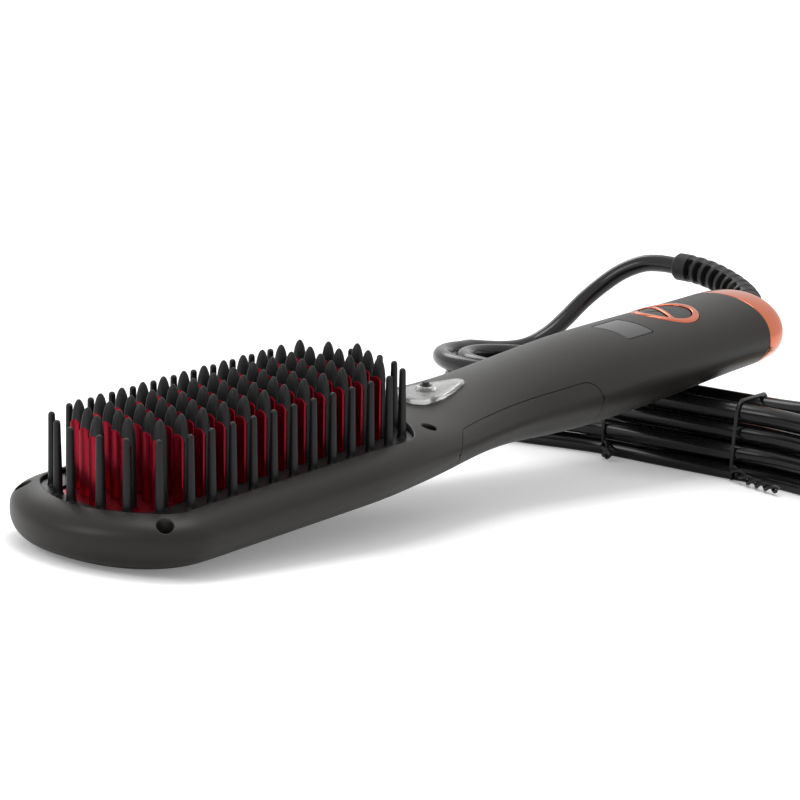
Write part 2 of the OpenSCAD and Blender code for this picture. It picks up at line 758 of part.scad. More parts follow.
// ---------- bezel and buttons ----------
bezel_r = bezel_d / 2;
button_r = bezel_r - bezel_band;
module at_cluster() {
    translate([bezel_x, 0, 0]) rotate(bezel_turn) children();
}
module cluster_skin(inset) {
    body_part(inset, bezel_x - bezel_d, bezel_x + bezel_d);
}
// What lies between the band and the bar on one side: 1 is the head side, -1 the cord side.
module bezel_opening(side, inset) {
    difference() {
        circle(button_r - inset, $fn = 96);
        translate([side > 0 ? bar_off - bezel_d + bar_w / 2 + inset
            : bar_off - bar_w / 2 - inset, -bezel_r]) square(bezel_d);
    }
}
bezel_low = board_z + 2.6;
module button_bezel() {
    color("#d98668") lie() intersection() {
        cluster_skin(-bezel_proud);
        translate([0, 0, bezel_low]) linear_extrude(past) at_cluster() difference() {
            circle(bezel_r - 0.1, $fn = 96);
            bezel_opening(1, 0);
            bezel_opening(-1, 0);
        }
    }
}
button_low = board_z + 2.4;
button_sunk = 0.1;
module power_button() {
    color("#2e2d2d") lie() intersection() {
        cluster_skin(button_sunk);
        translate([0, 0, button_low]) linear_extrude(past) at_cluster() bezel_opening(-1, fit);
    }
}
button_split = 0.3;
module tail_button(side) {
    lie() intersection() {
        cluster_skin(button_sunk);
        translate([0, 0, button_low]) linear_extrude(past) at_cluster() intersection() {
            bezel_opening(1, fit);
            translate([0, side > 0 ? button_split / 2 : -bezel_r])
                square([bezel_r, bezel_r - button_split / 2]);
        }
    }
}
module up_button() {
    color("#2e2d2d") tail_button(1);
}
module down_button() {
    color("#2e2d2d") tail_button(-1);
}
// One switch under the middle of each button.
switch_w = 3;
switch_spots = [[-(button_r - bar_off) / 2, 0], [(button_r + bar_off) / 2, button_r * 0.4],
    [(button_r + bar_off) / 2, -button_r * 0.4]];
module switches() {
    color("#c9ccce") lie() at_cluster() {
        for (p = switch_spots) translate([p[0], p[1], board_z]) {
            translate([-switch_w / 2, -switch_w / 2, 0]) cube([switch_w, switch_w, 1.2]);
            cylinder(h = button_low - board_z - press - 0.1, d = 1.2, $fn = 24);
        }
    }
}

// ---------- grip end ----------
module end_ring() {
    color("#d98668") lie() difference() {
        skin([for (s = ring_swell) ring_oval(s[0], s[1], 0)]);
        skin([ring_oval(-0.2, 0, wall), ring_oval(0.4, 0.1, wall), ring_oval(0.85, 0.5, wall),
            ring_oval(1.1, 1, wall)]);
    }
}
cap_flange = 2.4;
cap_plug = 6;
module end_cap() {
    color("#262626") lie() difference() {
        union() {
            skin([ring_oval(0.42, 0.3, wall + 0.3), ring_oval(0.85, 0.6, wall + 0.35),
                ring_oval(1, 1, wall + 0.3)]);
            skin([ring_oval(0, 0, wall + 0.3), ring_oval(0.43, 0.3, wall + 0.3)]);
        }
        skin([ring_oval(-0.1, 0, wall + 1.8), ring_oval(0.7, 0.8, wall + 1.8)]);
        translate([grip_end, 0, end_mid_z]) rotate([0, 90, 0])
            cylinder(h = 30, d = root_d + 0.1, $fn = 48);
    }
}
clamp_w = 20;
clamp_x0 = grip_end - 12;
module cord_clamp() {
    color("#3a3a3c") lie() difference() {
        intersection() {
            block(clamp_x0, clamp_x0 + 6, -clamp_w / 2, clamp_w / 2, -30, end_mid_z + 4.5);
            body_part(wall + fit, clamp_x0, clamp_x0 + 6);
        }
        translate([clamp_x0 - 5, 0, end_mid_z]) rotate([0, 90, 0])
            cylinder(h = 20, d = cord_d + 0.2, $fn = 32);
    }
}

// ---------- tubes ----------
// A tube swept along a list of points; each ring faces along the path there.
function unit(v) = v / norm(v);
function along(path, i) = unit(path[min(i + 1, len(path) - 1)] - path[max(i - 1, 0)]);
function sideways(t) = unit(cross(abs(t[2]) < 0.9 ? [0, 0, 1] : [1, 0, 0], t));
function tube_ring(p, t, r, n, low) =
    let (u = sideways(t), v = cross(t, u))
    [for (i = [0:n - 1]) let (a = 360 * (i + 0.5) / n, q = p + r * (u * cos(a) + v * sin(a)))
        [q[0], q[1], max(q[2], low)]];
module tube(path, r, n, low = -1000) {
    skin([for (i = [0:len(path) - 1]) tube_ring(path[i], along(path, i), r, n, low)]);
}
// Smooth curve through points, with so many steps between neighbours.
function curve_point(a, b, c, d, u) = 0.5 * (2 * b + (c - a) * u
    + (2 * a - 5 * b + 4 * c - d) * u * u + (3 * b - a - 3 * c + d) * u * u * u);
function smooth(pts, steps) = concat(
    [for (i = [0:len(pts) - 2], s = [0:steps - 1])
        curve_point(pts[max(i - 1, 0)], pts[i], pts[i + 1], pts[min(i + 2, len(pts) - 1)],
            s / steps)],
    [pts[len(pts) - 1]]);

// ---------- cord guard ----------
// Path of the guard, from the end cap out and round to the far side.
guard_root = grip_end + 3;
guard_path = [to_table([guard_root, 0, end_mid_z]), to_table([guard_root + 7, 0, end_mid_z]),
    [149.6, 2.8, 42], [157.6, 8.8, 44.2], [163.4, 17.4, 46.4], [166.8, 27.2, 48.4],
    [168.2, 35.4, 49.3], [168.4, 42.4, 49.4]];
guard_route = smooth(guard_path, 3);
slot_deep = 1.5;
module cord_guard() {
    n = len(guard_route) - 1;
    color("#222222") skin([for (s = guard_section) guard_ring(s[0] * n, s[1])]);
}
function guard_at(u) = let (i = min(floor(u), len(guard_route) - 2))
    lerp(guard_route[i], guard_route[i + 1], u - i);
function guard_dir(u) = let (i = min(floor(u), len(guard_route) - 2))
    unit(lerp(along(guard_route, i), along(guard_route, i + 1), u - i));
guard_n = 12;
function guard_ring(u, r) = tube_ring(guard_at(u), guard_dir(u), r, guard_n, -1000);
// Share of the length and radius: smooth root, then ribs and grooves, then a collar.
ribs_from = 0.3;
ribs_to = 0.93;
rib_pitch = (ribs_to - ribs_from) / guard_ribs;
function guard_r(u) = lerp(root_d / 2 - 0.6, guard_d / 2, ease(u / ribs_from));
guard_section = concat(
    [[0, root_d / 2 - 0.6], [0.12, guard_r(0.12)], [0.22, guard_r(0.22)]],
    [for (i = [0:guard_ribs - 1], k = [0, 1, 2, 3]) let (u = ribs_from + rib_pitch * i)
        [u + rib_pitch * [0, 0.05, 0.5, 0.55][k],
            guard_r(u) - (k == 1 || k == 2 ? slot_deep : 0)]],
    [[ribs_to, guard_d / 2], [0.985, guard_d / 2 * 1.04], [1, guard_d / 2 * 0.86]]);

// ---------- cord ----------
cord_r = cord_d / 2;
rest_cut = cord_d / 10;
hank_low = cord_r - rest_cut;
strand = cord_d + strand_gap;
hank_layers = 4;
// The free stretch from the guard down to the far fold of the hank.
lead_points = [[167.9, 54.6, 48.4], [165.8, 61.1, 45], [162.7, 66.3, 39.9],
    [158.3, 70.1, 34.2], [153.2, 72.5, 28.4], [147.2, 74.6, 23.3], [139.3, 76.8, 19.6],
    [129.8, 79, 18.8]];
guard_tip = guard_route[len(guard_route) - 1];
guard_way = unit(guard_tip - guard_route[len(guard_route) - 2]);
module cord_lead() {
    color("#161616") tube(concat([guard_tip], smooth(concat([guard_tip + cord_d * guard_way],
        lead_points, [hank_start + cord_d * hank_in_way]), 2), [hank_start]), cord_r, 8);
}

// Hank: its middle line is a gentle arc on the table.
hank_mid = [112.6, -7.4];
hank_turn = 9.2;
hank_bend = 20;
hank_span = 2 * fold_reach;
waist_in = strand / 2;
run_steps = 5;
fold_steps = 7;
loop_steps = 2 * (run_steps + fold_steps);
run_share = run_steps / loop_steps;
fold_share = fold_steps / loop_steps;
hank_turns = layer_turns * hank_layers;
climb_share = 0.2;
function loops_left(t) = let (l = floor(t / layer_turns), p = t - l * layer_turns)
    l % 2 == 0 ? layer_turns - p : p;
function layer_at(t) = let (l = min(floor(t / layer_turns), hank_layers - 1))
    let (p = t - l * layer_turns) l == 0 ? 0 : l - 1 + ease(p / climb_share);
// How far a strand at s along the hank is spread from waist to fold.
function spread(s) = ease((abs(s) - waist_half) / (fold_reach - waist_half));
function strand_side(s, q) =
    lerp(waist_in + q * loop_step, fold_r + q * loop_step, spread(s));
// Place along and across the hank for a number of turns t.
function loop_place(t) =
    let (u = t - floor(t), q = loops_left(t), r = fold_r + q * loop_step)
    u < run_share ? let (s = lerp(-fold_reach, fold_reach, u / run_share)) [s, strand_side(s, q)]
    : u < 0.5 ? let (a = 180 * (u - run_share) / fold_share)
        [fold_reach + r * sin(a), r * cos(a)]
    : u < 0.5 + run_share ? let (s = lerp(fold_reach, -fold_reach, (u - 0.5) / run_share))
        [s, -strand_side(s, q)]
    : let (a = 180 * (u - 0.5 - run_share) / fold_share) [-fold_reach - r * sin(a), -r * cos(a)];
// The arc of the middle line: s counts from the far side to the near side.
function hank_dir(s) = hank_turn + hank_bend * s / hank_span;
function hank_axis(s) = let (a = hank_turn + hank_bend * s / hank_span / 2)
    [hank_mid[0] + s * sin(a), hank_mid[1] - s * cos(a)];
function hank_point(t) = let (p = loop_place(t), c = hank_axis(p[0]), a = hank_dir(p[0]))
    [c[0] + p[1] * cos(a), c[1] + p[1] * sin(a), hank_low + strand * layer_at(t)];
// The cord enters on top at the far fold and leaves at the bottom of the near one.
hank_from = 0.5 - fold_share / 2;
hank_to = hank_turns - fold_share / 2;
hank_rings = round((hank_to - hank_from) * loop_steps);
function hank_t(i, n) = lerp(hank_from, hank_to, i / n);
hank_route = [for (i = [0:hank_rings]) hank_point(hank_t(i, hank_rings))];
hank_start = hank_point(hank_to);
hank_end = hank_point(hank_from);
hank_in_way = unit(hank_start - hank_route[hank_rings - 1]);
hank_out_way = unit(hank_end - hank_route[1]);
module cord_hank() {
    color("#141414") difference() {
        tube(hank_route, cord_r, 6, 0);
        for (s = tie_places) tie_groove(s);
    }
    echo(hank_least_gap = hank_gap(hank_route), hank_length = path_length(hank_route));
}
function path_length(p) = len(p) < 2 ? 0 : sum([for (i = [1:len(p) - 1]) norm(p[i] - p[i - 1])]);
function sum(v, i = 0, s = 0) = i == len(v) ? s : sum(v, i + 1, s + v[i]);
// Least free space between strands, measured on points a quarter ring apart.
function hank_gap(p) =
    let (fine = [for (i = [0:len(p) - 2], k = [0:3]) lerp(p[i], p[i + 1], k / 4)])
    let (n = len(fine), apart = 24)
    min([for (i = [0:n - 1 - apart]) min([for (j = [i + apart:n - 1]) norm(fine[i] - fine[j])])])
        - cord_d;

// The last stretch bends round the near end of the hank to the plug beside it.
end_points = [[148.6, -84.4, 2.6], [155, -78.4, 4.2]];
plug_entry = [161.8, -67.2, 6.6];
plug_turn = 66;
plug_way = [cos(plug_turn), sin(plug_turn), 0];
module cord_end() {
    color("#161616") tube(concat([hank_end], smooth(concat([hank_end + cord_d * hank_out_way],
        end_points, [plug_entry - cord_d * plug_way]), 3), [plug_entry]), cord_r, 8, 0);
}

// ---------- ties ----------
// Coated wire goes round the waist, twists with itself and ends in a short tail.
tie_r = tie_d / 2;
tie_places = [-20.5, 12.5];
tie_half = waist_in + layer_turns * loop_step + cord_r + tie_r + 0.2;
tie_top = hank_low + (hank_layers - 1) * strand + cord_r + tie_r + 0.2;
tie_corner = 3;
module tie_frame(s) {
    c = hank_axis(s);
    translate([c[0], c[1], 0]) rotate(hank_dir(s)) children();
}
module tie_groove(s) {
    tie_frame(s) translate([0, 0, tie_r]) rotate([0, 90, 0])
        cylinder(h = 2 * tie_half, d = tie_d + 0.3, center = true, $fn = 24);
}
// Round the bundle, from the knot over the top and back under it.
function tie_loop() = [
    [-tie_half, 0.5, 8], [-tie_half, 0.3, tie_top - tie_corner],
    [-tie_half + 1, 0.2, tie_top - 1], [-tie_half + tie_corner, 0.2, tie_top], [0, 0, tie_top],
    [tie_half - tie_corner, 0, tie_top], [tie_half - 1, 0, tie_top - 1],
    [tie_half, 0, tie_top - tie_corner], [tie_half, 0, tie_corner], [tie_half - 1, 0, tie_r + 1],
    [tie_half - tie_corner, 0, tie_r], [0, 0, tie_r], [-tie_half + tie_corner, 0, tie_r],
    [-tie_half, 0, tie_r + 0.8], [-tie_half - 0.4, -0.6, tie_corner + 1]];
twist_pitch = 5.5;
twist_r = tie_r + 0.25;
// One strand of the twist, which starts at the knot and bends down to the table.
function twist_point(u, half, l, way) =
    let (a = 360 * l / twist_pitch * u + half, w = [cos(way), sin(way)])
    [-tie_half - 1.4 - l * u * w[0] - twist_r * cos(a) * w[1],
        -l * u * w[1] + twist_r * cos(a) * w[0],
        lerp(6, twist_r + tie_r + 0.1, ease(u * 1.6)) + twist_r * sin(a)];
module tie(s, l, way) {
    n = round(7 * l / twist_pitch);
    color("#202022") tie_frame(s) tube(concat(
        [for (i = [n:-1:0]) twist_point(i / n, 90, l, way)], tie_loop(),
        [for (i = [0:n]) twist_point(i / n, 270, l, way)]), tie_r, 6, 0);
}
// Length of each twisted tail, and the way that it points on the table.
tail_len = [9, 22];
tail_way = [40, 70];
module tie_near() {
    tie(tie_places[1], tail_len[1], tail_way[1]);
}
module tie_far() {
    tie(tie_places[0], tail_len[0], tail_way[0]);
}

// ---------- plug ----------
// A moulded two blade mains plug, lying on its flat side, pins along plug_way.
plug_h = 13.2;
plug_w = 24;
plug_l = 26;
relief_l = 22;
grip_l = 14;
blade_gap = 12.7;
pin_l = 16;
module at_plug() {
    translate([plug_entry[0], plug_entry[1], plug_h / 2]) rotate(plug_turn)
        rotate([0, 90, 0]) children();
}
module plug_body() {
    color("#181818") at_plug() {
        rotate_extrude($fn = 32) polygon(concat([[0, 0], [cord_r + 0.9, 0]],
            [for (i = [0:4]) each [[cord_r + 1 + 0.2 * i, 2 + 3.6 * i],
                [cord_r + 1 + 0.2 * i, 3.8 + 3.6 * i], [cord_r + 0.4 + 0.2 * i, 4.2 + 3.6 * i],
                [cord_r + 0.4 + 0.2 * i, 5.2 + 3.6 * i]]],
            [[cord_r + 2, relief_l - 2], [cord_r + 2, relief_l + 1], [0, relief_l + 1]]));
        hull() {
            translate([0, 0, relief_l]) linear_extrude(1) rounded(plug_h - 3, 12, 3);
            translate([0, 0, relief_l + grip_l]) linear_extrude(plug_l - grip_l)
                rounded(plug_h, plug_w, 3);
        }
    }
}
module plug_pins() {
    color("#b9a35e") at_plug() for (s = [-1, 1])
        translate([0, s * blade_gap / 2, relief_l + plug_l]) difference() {
            block(-3.15, 3.15, -0.75, 0.75, 0, pin_l);
            translate([0, 0, pin_l - 4]) rotate([90, 0, 0])
                cylinder(h = 4, d = 3, center = true, $fn = 24);
            for (e = [-1, 1]) translate([0, e * 1.2, pin_l]) rotate([e * 35, 0, 0])
                cube([8, 1.2, 2], center = true);
        }
}

upper_shell();
head_base();
grip_base();
comb_frame();
guard_rods();
heat_plate();
heat_blades();
tooth_caps();
heaters();
insulation();
heater_clamp();
thermal_fuse();
steam_box();
clamp_screws();
water_tank();
filler_stopper();
filler_valve();
pump();
water_tube();
main_board();
display_module();
display_window();
button_bezel();
power_button();
up_button();
down_button();
switches();
end_ring();
end_cap();
cord_clamp();
case_screws();
cord_guard();
cord_lead();
cord_hank();
cord_end();
tie_near();
tie_far();
plug_body();
plug_pins();
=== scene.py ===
import json
import bpy
import numpy as np
from mathutils import Matrix

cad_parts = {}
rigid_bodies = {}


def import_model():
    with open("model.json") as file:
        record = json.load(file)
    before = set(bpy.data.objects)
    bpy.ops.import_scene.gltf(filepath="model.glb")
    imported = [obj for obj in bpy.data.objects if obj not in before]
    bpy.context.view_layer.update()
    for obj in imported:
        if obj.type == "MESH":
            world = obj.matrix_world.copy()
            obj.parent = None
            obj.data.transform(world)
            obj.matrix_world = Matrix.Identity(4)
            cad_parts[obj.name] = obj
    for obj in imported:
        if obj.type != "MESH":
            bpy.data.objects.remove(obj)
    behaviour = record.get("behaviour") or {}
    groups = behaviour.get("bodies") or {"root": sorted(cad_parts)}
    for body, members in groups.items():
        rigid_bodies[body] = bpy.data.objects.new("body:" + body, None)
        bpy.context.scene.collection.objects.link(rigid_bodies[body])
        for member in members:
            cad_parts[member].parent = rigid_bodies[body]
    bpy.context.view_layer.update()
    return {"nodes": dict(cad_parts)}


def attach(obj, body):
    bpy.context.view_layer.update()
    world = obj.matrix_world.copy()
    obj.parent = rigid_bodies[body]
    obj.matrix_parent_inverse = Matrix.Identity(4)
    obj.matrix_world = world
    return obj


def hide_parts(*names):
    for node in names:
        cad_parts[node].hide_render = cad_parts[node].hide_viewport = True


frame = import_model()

# ----------------------------------------
# Viewpoint.  The brush is seen from its head end and its near side, from a
# little above the table, with a long lens.
scene_objects = bpy.context.scene.collection.objects


def stand_at(name, data, right, back, place):
    """A camera or lamp at a place, with the ways its right and its back point; its top follows."""
    thing = bpy.data.objects.new(name, data)
    m = np.eye(4)
    m[:3, :3] = np.stack([right, np.cross(back, right), back], -1)
    m[:3, 3] = place
    thing.matrix_world = Matrix(m.tolist())
    scene_objects.link(thing)
    return thing


camera_data = bpy.data.cameras.new("viewpoint")
camera_data.sensor_width = 36.0
camera_data.lens = 126.0
camera_data.clip_end = 50.0
turn, rise, tilt = np.radians([-51.7216, 9.8468, 5.4190])
eye = (-0.5761, -0.4388, 0.1513)
back = np.array([np.sin(turn) * np.cos(rise), -np.cos(turn) * np.cos(rise), np.sin(rise)])
level = np.array([np.cos(turn), np.sin(turn), 0.0])
right = np.cos(tilt) * level + np.sin(tilt) * np.cross(back, level)
bpy.context.scene.camera = stand_at("viewpoint", camera_data, right, back, eye)

# ----------------------------------------
# Table and light.  A plain pale table top, a white room and three soft lamps:
# one overhead, one towards the head end and one behind, whose light skims the edges.
view = bpy.context.scene.view_settings
view.view_transform = "Standard"

FLOOR = 15.0
floor_mesh = bpy.data.meshes.new("table_top")
floor_mesh.from_pydata([(-FLOOR, -FLOOR, 0), (FLOOR, -FLOOR, 0), (FLOOR, FLOOR, 0), (-FLOOR, FLOOR, 0)],
                       [], [(0, 1, 2, 3)])
table_top = bpy.data.objects.new("table_top", floor_mesh)
scene_objects.link(table_top)
paper = bpy.data.materials.new("pale_table")
paper.use_nodes = True
pn, pl = paper.node_tree.nodes, paper.node_tree.links
sheet = pn["Principled BSDF"]
sheet.inputs["Base Color"].default_value = (0.95, 0.95, 0.95, 1)
sheet.inputs["Roughness"].default_value = 0.9
sheet.inputs["Specular IOR Level"].default_value = 0.1
sheet.inputs["Emission Color"].default_value = (1, 1, 1, 1)
# The table reads as white where no shadow lies: seen directly it adds a little of its own.
LIFT_SEEN = 0.17
sight = pn.new("ShaderNodeLightPath")
lift = pn.new("ShaderNodeMath")
lift.operation = "MULTIPLY"
lift.inputs[1].default_value = LIFT_SEEN
pl.new(sight.outputs["Is Camera Ray"], lift.inputs[0])
pl.new(lift.outputs[0], sheet.inputs["Emission Strength"])
floor_mesh.materials.append(paper)

room = bpy.data.worlds.new("white_room")
bpy.context.scene.world = room
room.use_nodes = True
wn, wl = room.node_tree.nodes, room.node_tree.links
wn.clear()
path_node = wn.new("ShaderNodeLightPath")
seen = wn.new("ShaderNodeMath")
seen.operation = "MAXIMUM"
wl.new(path_node.outputs["Is Camera Ray"], seen.inputs[0])
wl.new(path_node.outputs["Is Transmission Ray"], seen.inputs[1])
either = wn.new("ShaderNodeMixShader")
wl.new(seen.outputs[0], either.inputs[0])
# The room lights the brush with the first strength and is seen with the second.
for socket, strength in ((1, 0.9), (2, 1.0)):
    sky = wn.new("ShaderNodeBackground")
    sky.inputs["Color"].default_value = (1, 1, 1, 1)
    sky.inputs["Strength"].default_value = strength
    wl.new(sky.outputs[0], either.inputs[socket])
out = wn.new("ShaderNodeOutputWorld")
wl.new(either.outputs[0], out.inputs[0])


def soft_lamp(name, place, aim, width, height, watts):
    """An area lamp at place, turned so that its face looks at aim."""
    data = bpy.data.lights.new(name, "AREA")
    data.shape = "RECTANGLE"
    data.size = width
    data.size_y = height
    data.energy = watts
    away = np.array(place, float) - np.array(aim, float)
    away /= np.linalg.norm(away)
    side = np.cross((0.0, 0.0, 1.0), away)
    stand_at(name, data, side / np.linalg.norm(side), away, place)


soft_lamp("overhead_lamp", (0.05, 0.1, 0.9), (0.05, 0.0, 0.0), 0.5, 0.35, 2.6)
soft_lamp("head_end_lamp", (-0.75, 0.25, 0.45), (0.0, 0.0, 0.02), 0.35, 0.3, 1.3)
soft_lamp("far_side_lamp", (0.45, 0.8, 0.6), (0.05, 0.0, 0.02), 0.5, 0.3, 1.6)

# ----------------------------------------
# Mains cord.  Black satin PVC, 5.4 mm thick: a free stretch falls from the guard
# behind the grip to the hank, the hank is one cord folded six times under the
# grip, and the last stretch runs out to the plug.
CORD_D = 5.4
CORD_R = CORD_D / 2
LIE = np.radians(7.05)
LIE_X, LIE_Z = -82.4008, 18.5112


def to_table(p):
    """Brush drawing place in mm to table place in mm: lean by the lie angle, then set down."""
    p = np.asarray(p, float)
    x = p[..., 0] * np.cos(LIE) - p[..., 2] * np.sin(LIE) + LIE_X
    z = p[..., 0] * np.sin(LIE) + p[..., 2] * np.cos(LIE) + LIE_Z
    return np.stack([x, p[..., 1], z], -1)


def ease(u):
    """Smooth step: three u squared less two u cubed, between 0 and 1."""
    u = np.clip(u, 0.0, 1.0)
    return u * u * (3 - 2 * u)


def shift(x, x0, x1, a, b):
    """From a to b by the smooth step between x0 and x1."""
    return a + (b - a) * ease((np.asarray(x, float) - x0) / (x1 - x0))


def unit(v):
    """Vectors over their own lengths."""
    return v / np.linalg.norm(v, axis=-1, keepdims=True)


def smooth(points, steps):
    """Uniform cubic through the points: half of (2b + (c-a)u + (2a-5b+4c-d)u2 + (3b-a-3c+d)u3)."""
    p = np.asarray(points, float)
    a, b, c, d = p[np.r_[0, 0:len(p) - 2]], p[:-1], p[1:], p[np.r_[2:len(p), len(p) - 1]]
    u = (np.arange(steps) / steps)[None, :, None]
    a, b, c, d = a[:, None], b[:, None], c[:, None], d[:, None]
    q = 0.5 * (2 * b + (c - a) * u + (2 * a - 5 * b + 4 * c - d) * u ** 2
               + (3 * b - a - 3 * c + d) * u ** 3)
    return np.vstack([q.reshape(-1, 3), p[-1:]])


def evenly(path, step):
    """The same line with points a step apart, by its running length."""
    run = np.r_[0, np.cumsum(np.linalg.norm(np.diff(path, axis=0), axis=1))]
    s = np.linspace(0, run[-1], max(2, int(round(run[-1] / step)) + 1))
    return np.stack([np.interp(s, run, path[:, k]) for k in range(path.shape[1])], -1)


def carry(path):
    """Two directions square to the path, carried along it with no twist of their own."""
    t = unit(np.gradient(path, axis=0))
    u = np.cross((0.0, 0.0, 1.0) if abs(t[0, 2]) < 0.9 else (1.0, 0.0, 0.0), t[0])
    rows = []
    for way in t:
        u = u - way * np.dot(u, way)
        u = u / np.linalg.norm(u)
        rows.append(u)
    u = np.array(rows)
    return u, np.cross(t, u)


def ways_round(count):
    """Even angles round a full turn."""
    return 2 * np.pi * np.arange(count) / count


def powered(value, power):
    """Power of a signed value that keeps its sign."""
    return np.sign(value) * np.abs(value) ** power


def tube(path, radius, sides, low=None):
    """Circle of the radius swept on the path; what lies under low is pressed flat."""
    u, v = carry(path)
    a = ways_round(sides)
    r = np.broadcast_to(np.asarray(radius, float), (len(path),))[:, None, None]
    ring = u[:, None] * np.cos(a)[None, :, None] + v[:, None] * np.sin(a)[None, :, None]
    p = path[:, None] + r * ring
    if low is not None:
        p[..., 2] = np.maximum(p[..., 2], low)
    return p


def skin(rings):
    """Vertices and faces of a closed skin over rings of equal size, its two ends closed by fans."""
    m, n = rings.shape[:2]
    i, r = np.arange(n), np.arange(m - 1)[:, None]
    j = (i + 1) % n
    quads = np.stack([r * n + i, r * n + j, (r + 1) * n + j, (r + 1) * n + i], -1).reshape(-1, 4)
    verts = np.vstack([rings.reshape(-1, 3), rings[0].mean(0), rings[-1].mean(0)])
    first = np.stack([j, i, np.full(n, m * n)], -1)
    last = np.stack([(m - 1) * n + i, (m - 1) * n + j, np.full(n, m * n + 1)], -1)
    return verts, quads.tolist() + first.tolist() + last.tolist()


def make(name, verts, faces, material=None, sharp=32.0):
    """One object from vertices in mm, smooth shaded but for edges sharper than the angle."""
    mesh = bpy.data.meshes.new(name)
    mesh.from_pydata((np.asarray(verts) * 0.001).tolist(), [], faces)
    mesh.update()
    mesh.polygons.foreach_set("use_smooth", np.ones(len(mesh.polygons), bool))
    mesh.set_sharp_from_angle(angle=np.radians(sharp))
    piece = bpy.data.objects.new(name, mesh)
    scene_objects.link(piece)
    if material:
        mesh.materials.append(material)
    return piece


# Surface finish that every moulded, rubber and metal piece uses with its own values:
# a fine grain for the bump, broad patches that shade the colour, and uneven gloss.
surface = bpy.data.node_groups.new("surface_finish", "ShaderNodeTree")
for way, kind, names in (("INPUT", "NodeSocketColor", ["Color"]),
                         ("INPUT", "NodeSocketFloat", ["Grain Scale", "Patch Scale", "Tone",
                                                       "Roughness", "Rough Spread"]),
                         ("OUTPUT", "NodeSocketColor", ["Color"]),
                         ("OUTPUT", "NodeSocketFloat", ["Roughness", "Height"])):
    for name in names:
        surface.interface.new_socket(name=name, in_out=way, socket_type=kind)
gn, gl = surface.nodes, surface.links
g_in, g_out = gn.new("NodeGroupInput"), gn.new("NodeGroupOutput")
place = gn.new("ShaderNodeTexCoord")
grain, patch = gn.new("ShaderNodeTexNoise"), gn.new("ShaderNodeTexNoise")
for noise, detail, scale in ((grain, 3.0, "Grain Scale"), (patch, 4.0, "Patch Scale")):
    noise.inputs["Detail"].default_value = detail
    gl.new(place.outputs["Object"], noise.inputs["Vector"])
    gl.new(g_in.outputs[scale], noise.inputs["Scale"])


def sum_of(operation, *values):
    """A math node of the group, whose inputs are plain numbers or other sockets."""
    node = gn.new("ShaderNodeMath")
    node.operation = operation
    for socket, value in zip(node.inputs, values):
        if isinstance(value, float):
            socket.default_value = value
        else:
            gl.new(value, socket)
    return node.outputs[0]


level_off = sum_of("SUBTRACT", patch.outputs[0], 0.5)
shade = gn.new("ShaderNodeVectorMath")
shade.operation = "SCALE"
gl.new(g_in.outputs["Color"], shade.inputs[0])
gl.new(sum_of("MULTIPLY_ADD", level_off, g_in.outputs["Tone"], 1.0), shade.inputs["Scale"])
gl.new(shade.outputs[0], g_out.inputs["Color"])
gl.new(sum_of("MULTIPLY_ADD", level_off, g_in.outputs["Rough Spread"], g_in.outputs["Roughness"]),
       g_out.inputs["Roughness"])
gl.new(grain.outputs[0], g_out.inputs["Height"])


def finish(name, color, rough, grain_scale=3000.0, depth=0.00002, patch_scale=60.0, tone=0.25,
           spread=0.12, metal=0.0, strength=0.35, **sockets):
    """A material: the surface finish group feeds colour, roughness and bump of the shader."""
    mat = bpy.data.materials.new(name)
    mat.use_nodes = True
    nodes, links = mat.node_tree.nodes, mat.node_tree.links
    shader = nodes["Principled BSDF"]
    g = nodes.new("ShaderNodeGroup")
    g.node_tree = surface
    for socket, value in (("Color", (*color, 1)), ("Grain Scale", grain_scale), ("Patch Scale", patch_scale),
                          ("Tone", tone), ("Roughness", rough), ("Rough Spread", spread)):
        g.inputs[socket].default_value = value
    bump = nodes.new("ShaderNodeBump")
    bump.inputs["Strength"].default_value = strength
    bump.inputs["Distance"].default_value = depth
    links.new(g.outputs["Color"], shader.inputs["Base Color"])
    links.new(g.outputs["Roughness"], shader.inputs["Roughness"])
    links.new(g.outputs["Height"], bump.inputs["Height"])
    links.new(bump.outputs["Normal"], shader.inputs["Normal"])
    shader.inputs["Metallic"].default_value = metal
    for key, value in sockets.items():
        shader.inputs[key.replace("_", " ")].default_value = value
    return mat


def fit(piece, body, slot, *nodes):
    """The piece rides on a body of the brush and takes the place of drawing nodes, which it hides; slot is
    not used.
    """
    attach(piece, body)
    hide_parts(*nodes)


def coat(node, material):
    """Gives a drawing node, which keeps its shape, the material of its real piece."""
    piece = frame["nodes"][node]
    piece.data.materials.clear()
    piece.data.materials.append(material)
    return piece


# The hank: its middle on the table, its way and bend in degrees, then how far the
# folds lie from the waist, the innermost fold's radius and the space to the next loop.
HANK_MID = np.array([112.6, -7.4])
HANK_TURN, HANK_BEND = 9.2, 20.0
FOLD_REACH, FOLD_R, LOOP_STEP, WAIST_HALF = 62.0, 16.2, 6.8, 21.0
# Four layers of one and a half turns, and the share of a turn in which the cord climbs.
LAYERS, LAYER_TURNS, CLIMB = 4, 1.5, 0.2
STRAND = CORD_D + 0.5
HANK_LOW = CORD_R - CORD_D / 10
# Shares of a turn that a straight run and a fold take.
RUN, FOLD = 5 / 24, 7 / 24


def hank_axis(s):
    """Middle line of the hank on the table: an arc through its middle, s in mm along it."""
    a = np.radians(HANK_TURN + HANK_BEND * s / (2 * FOLD_REACH) / 2)
    return HANK_MID + np.stack([s * np.sin(a), -s * np.cos(a)], -1)


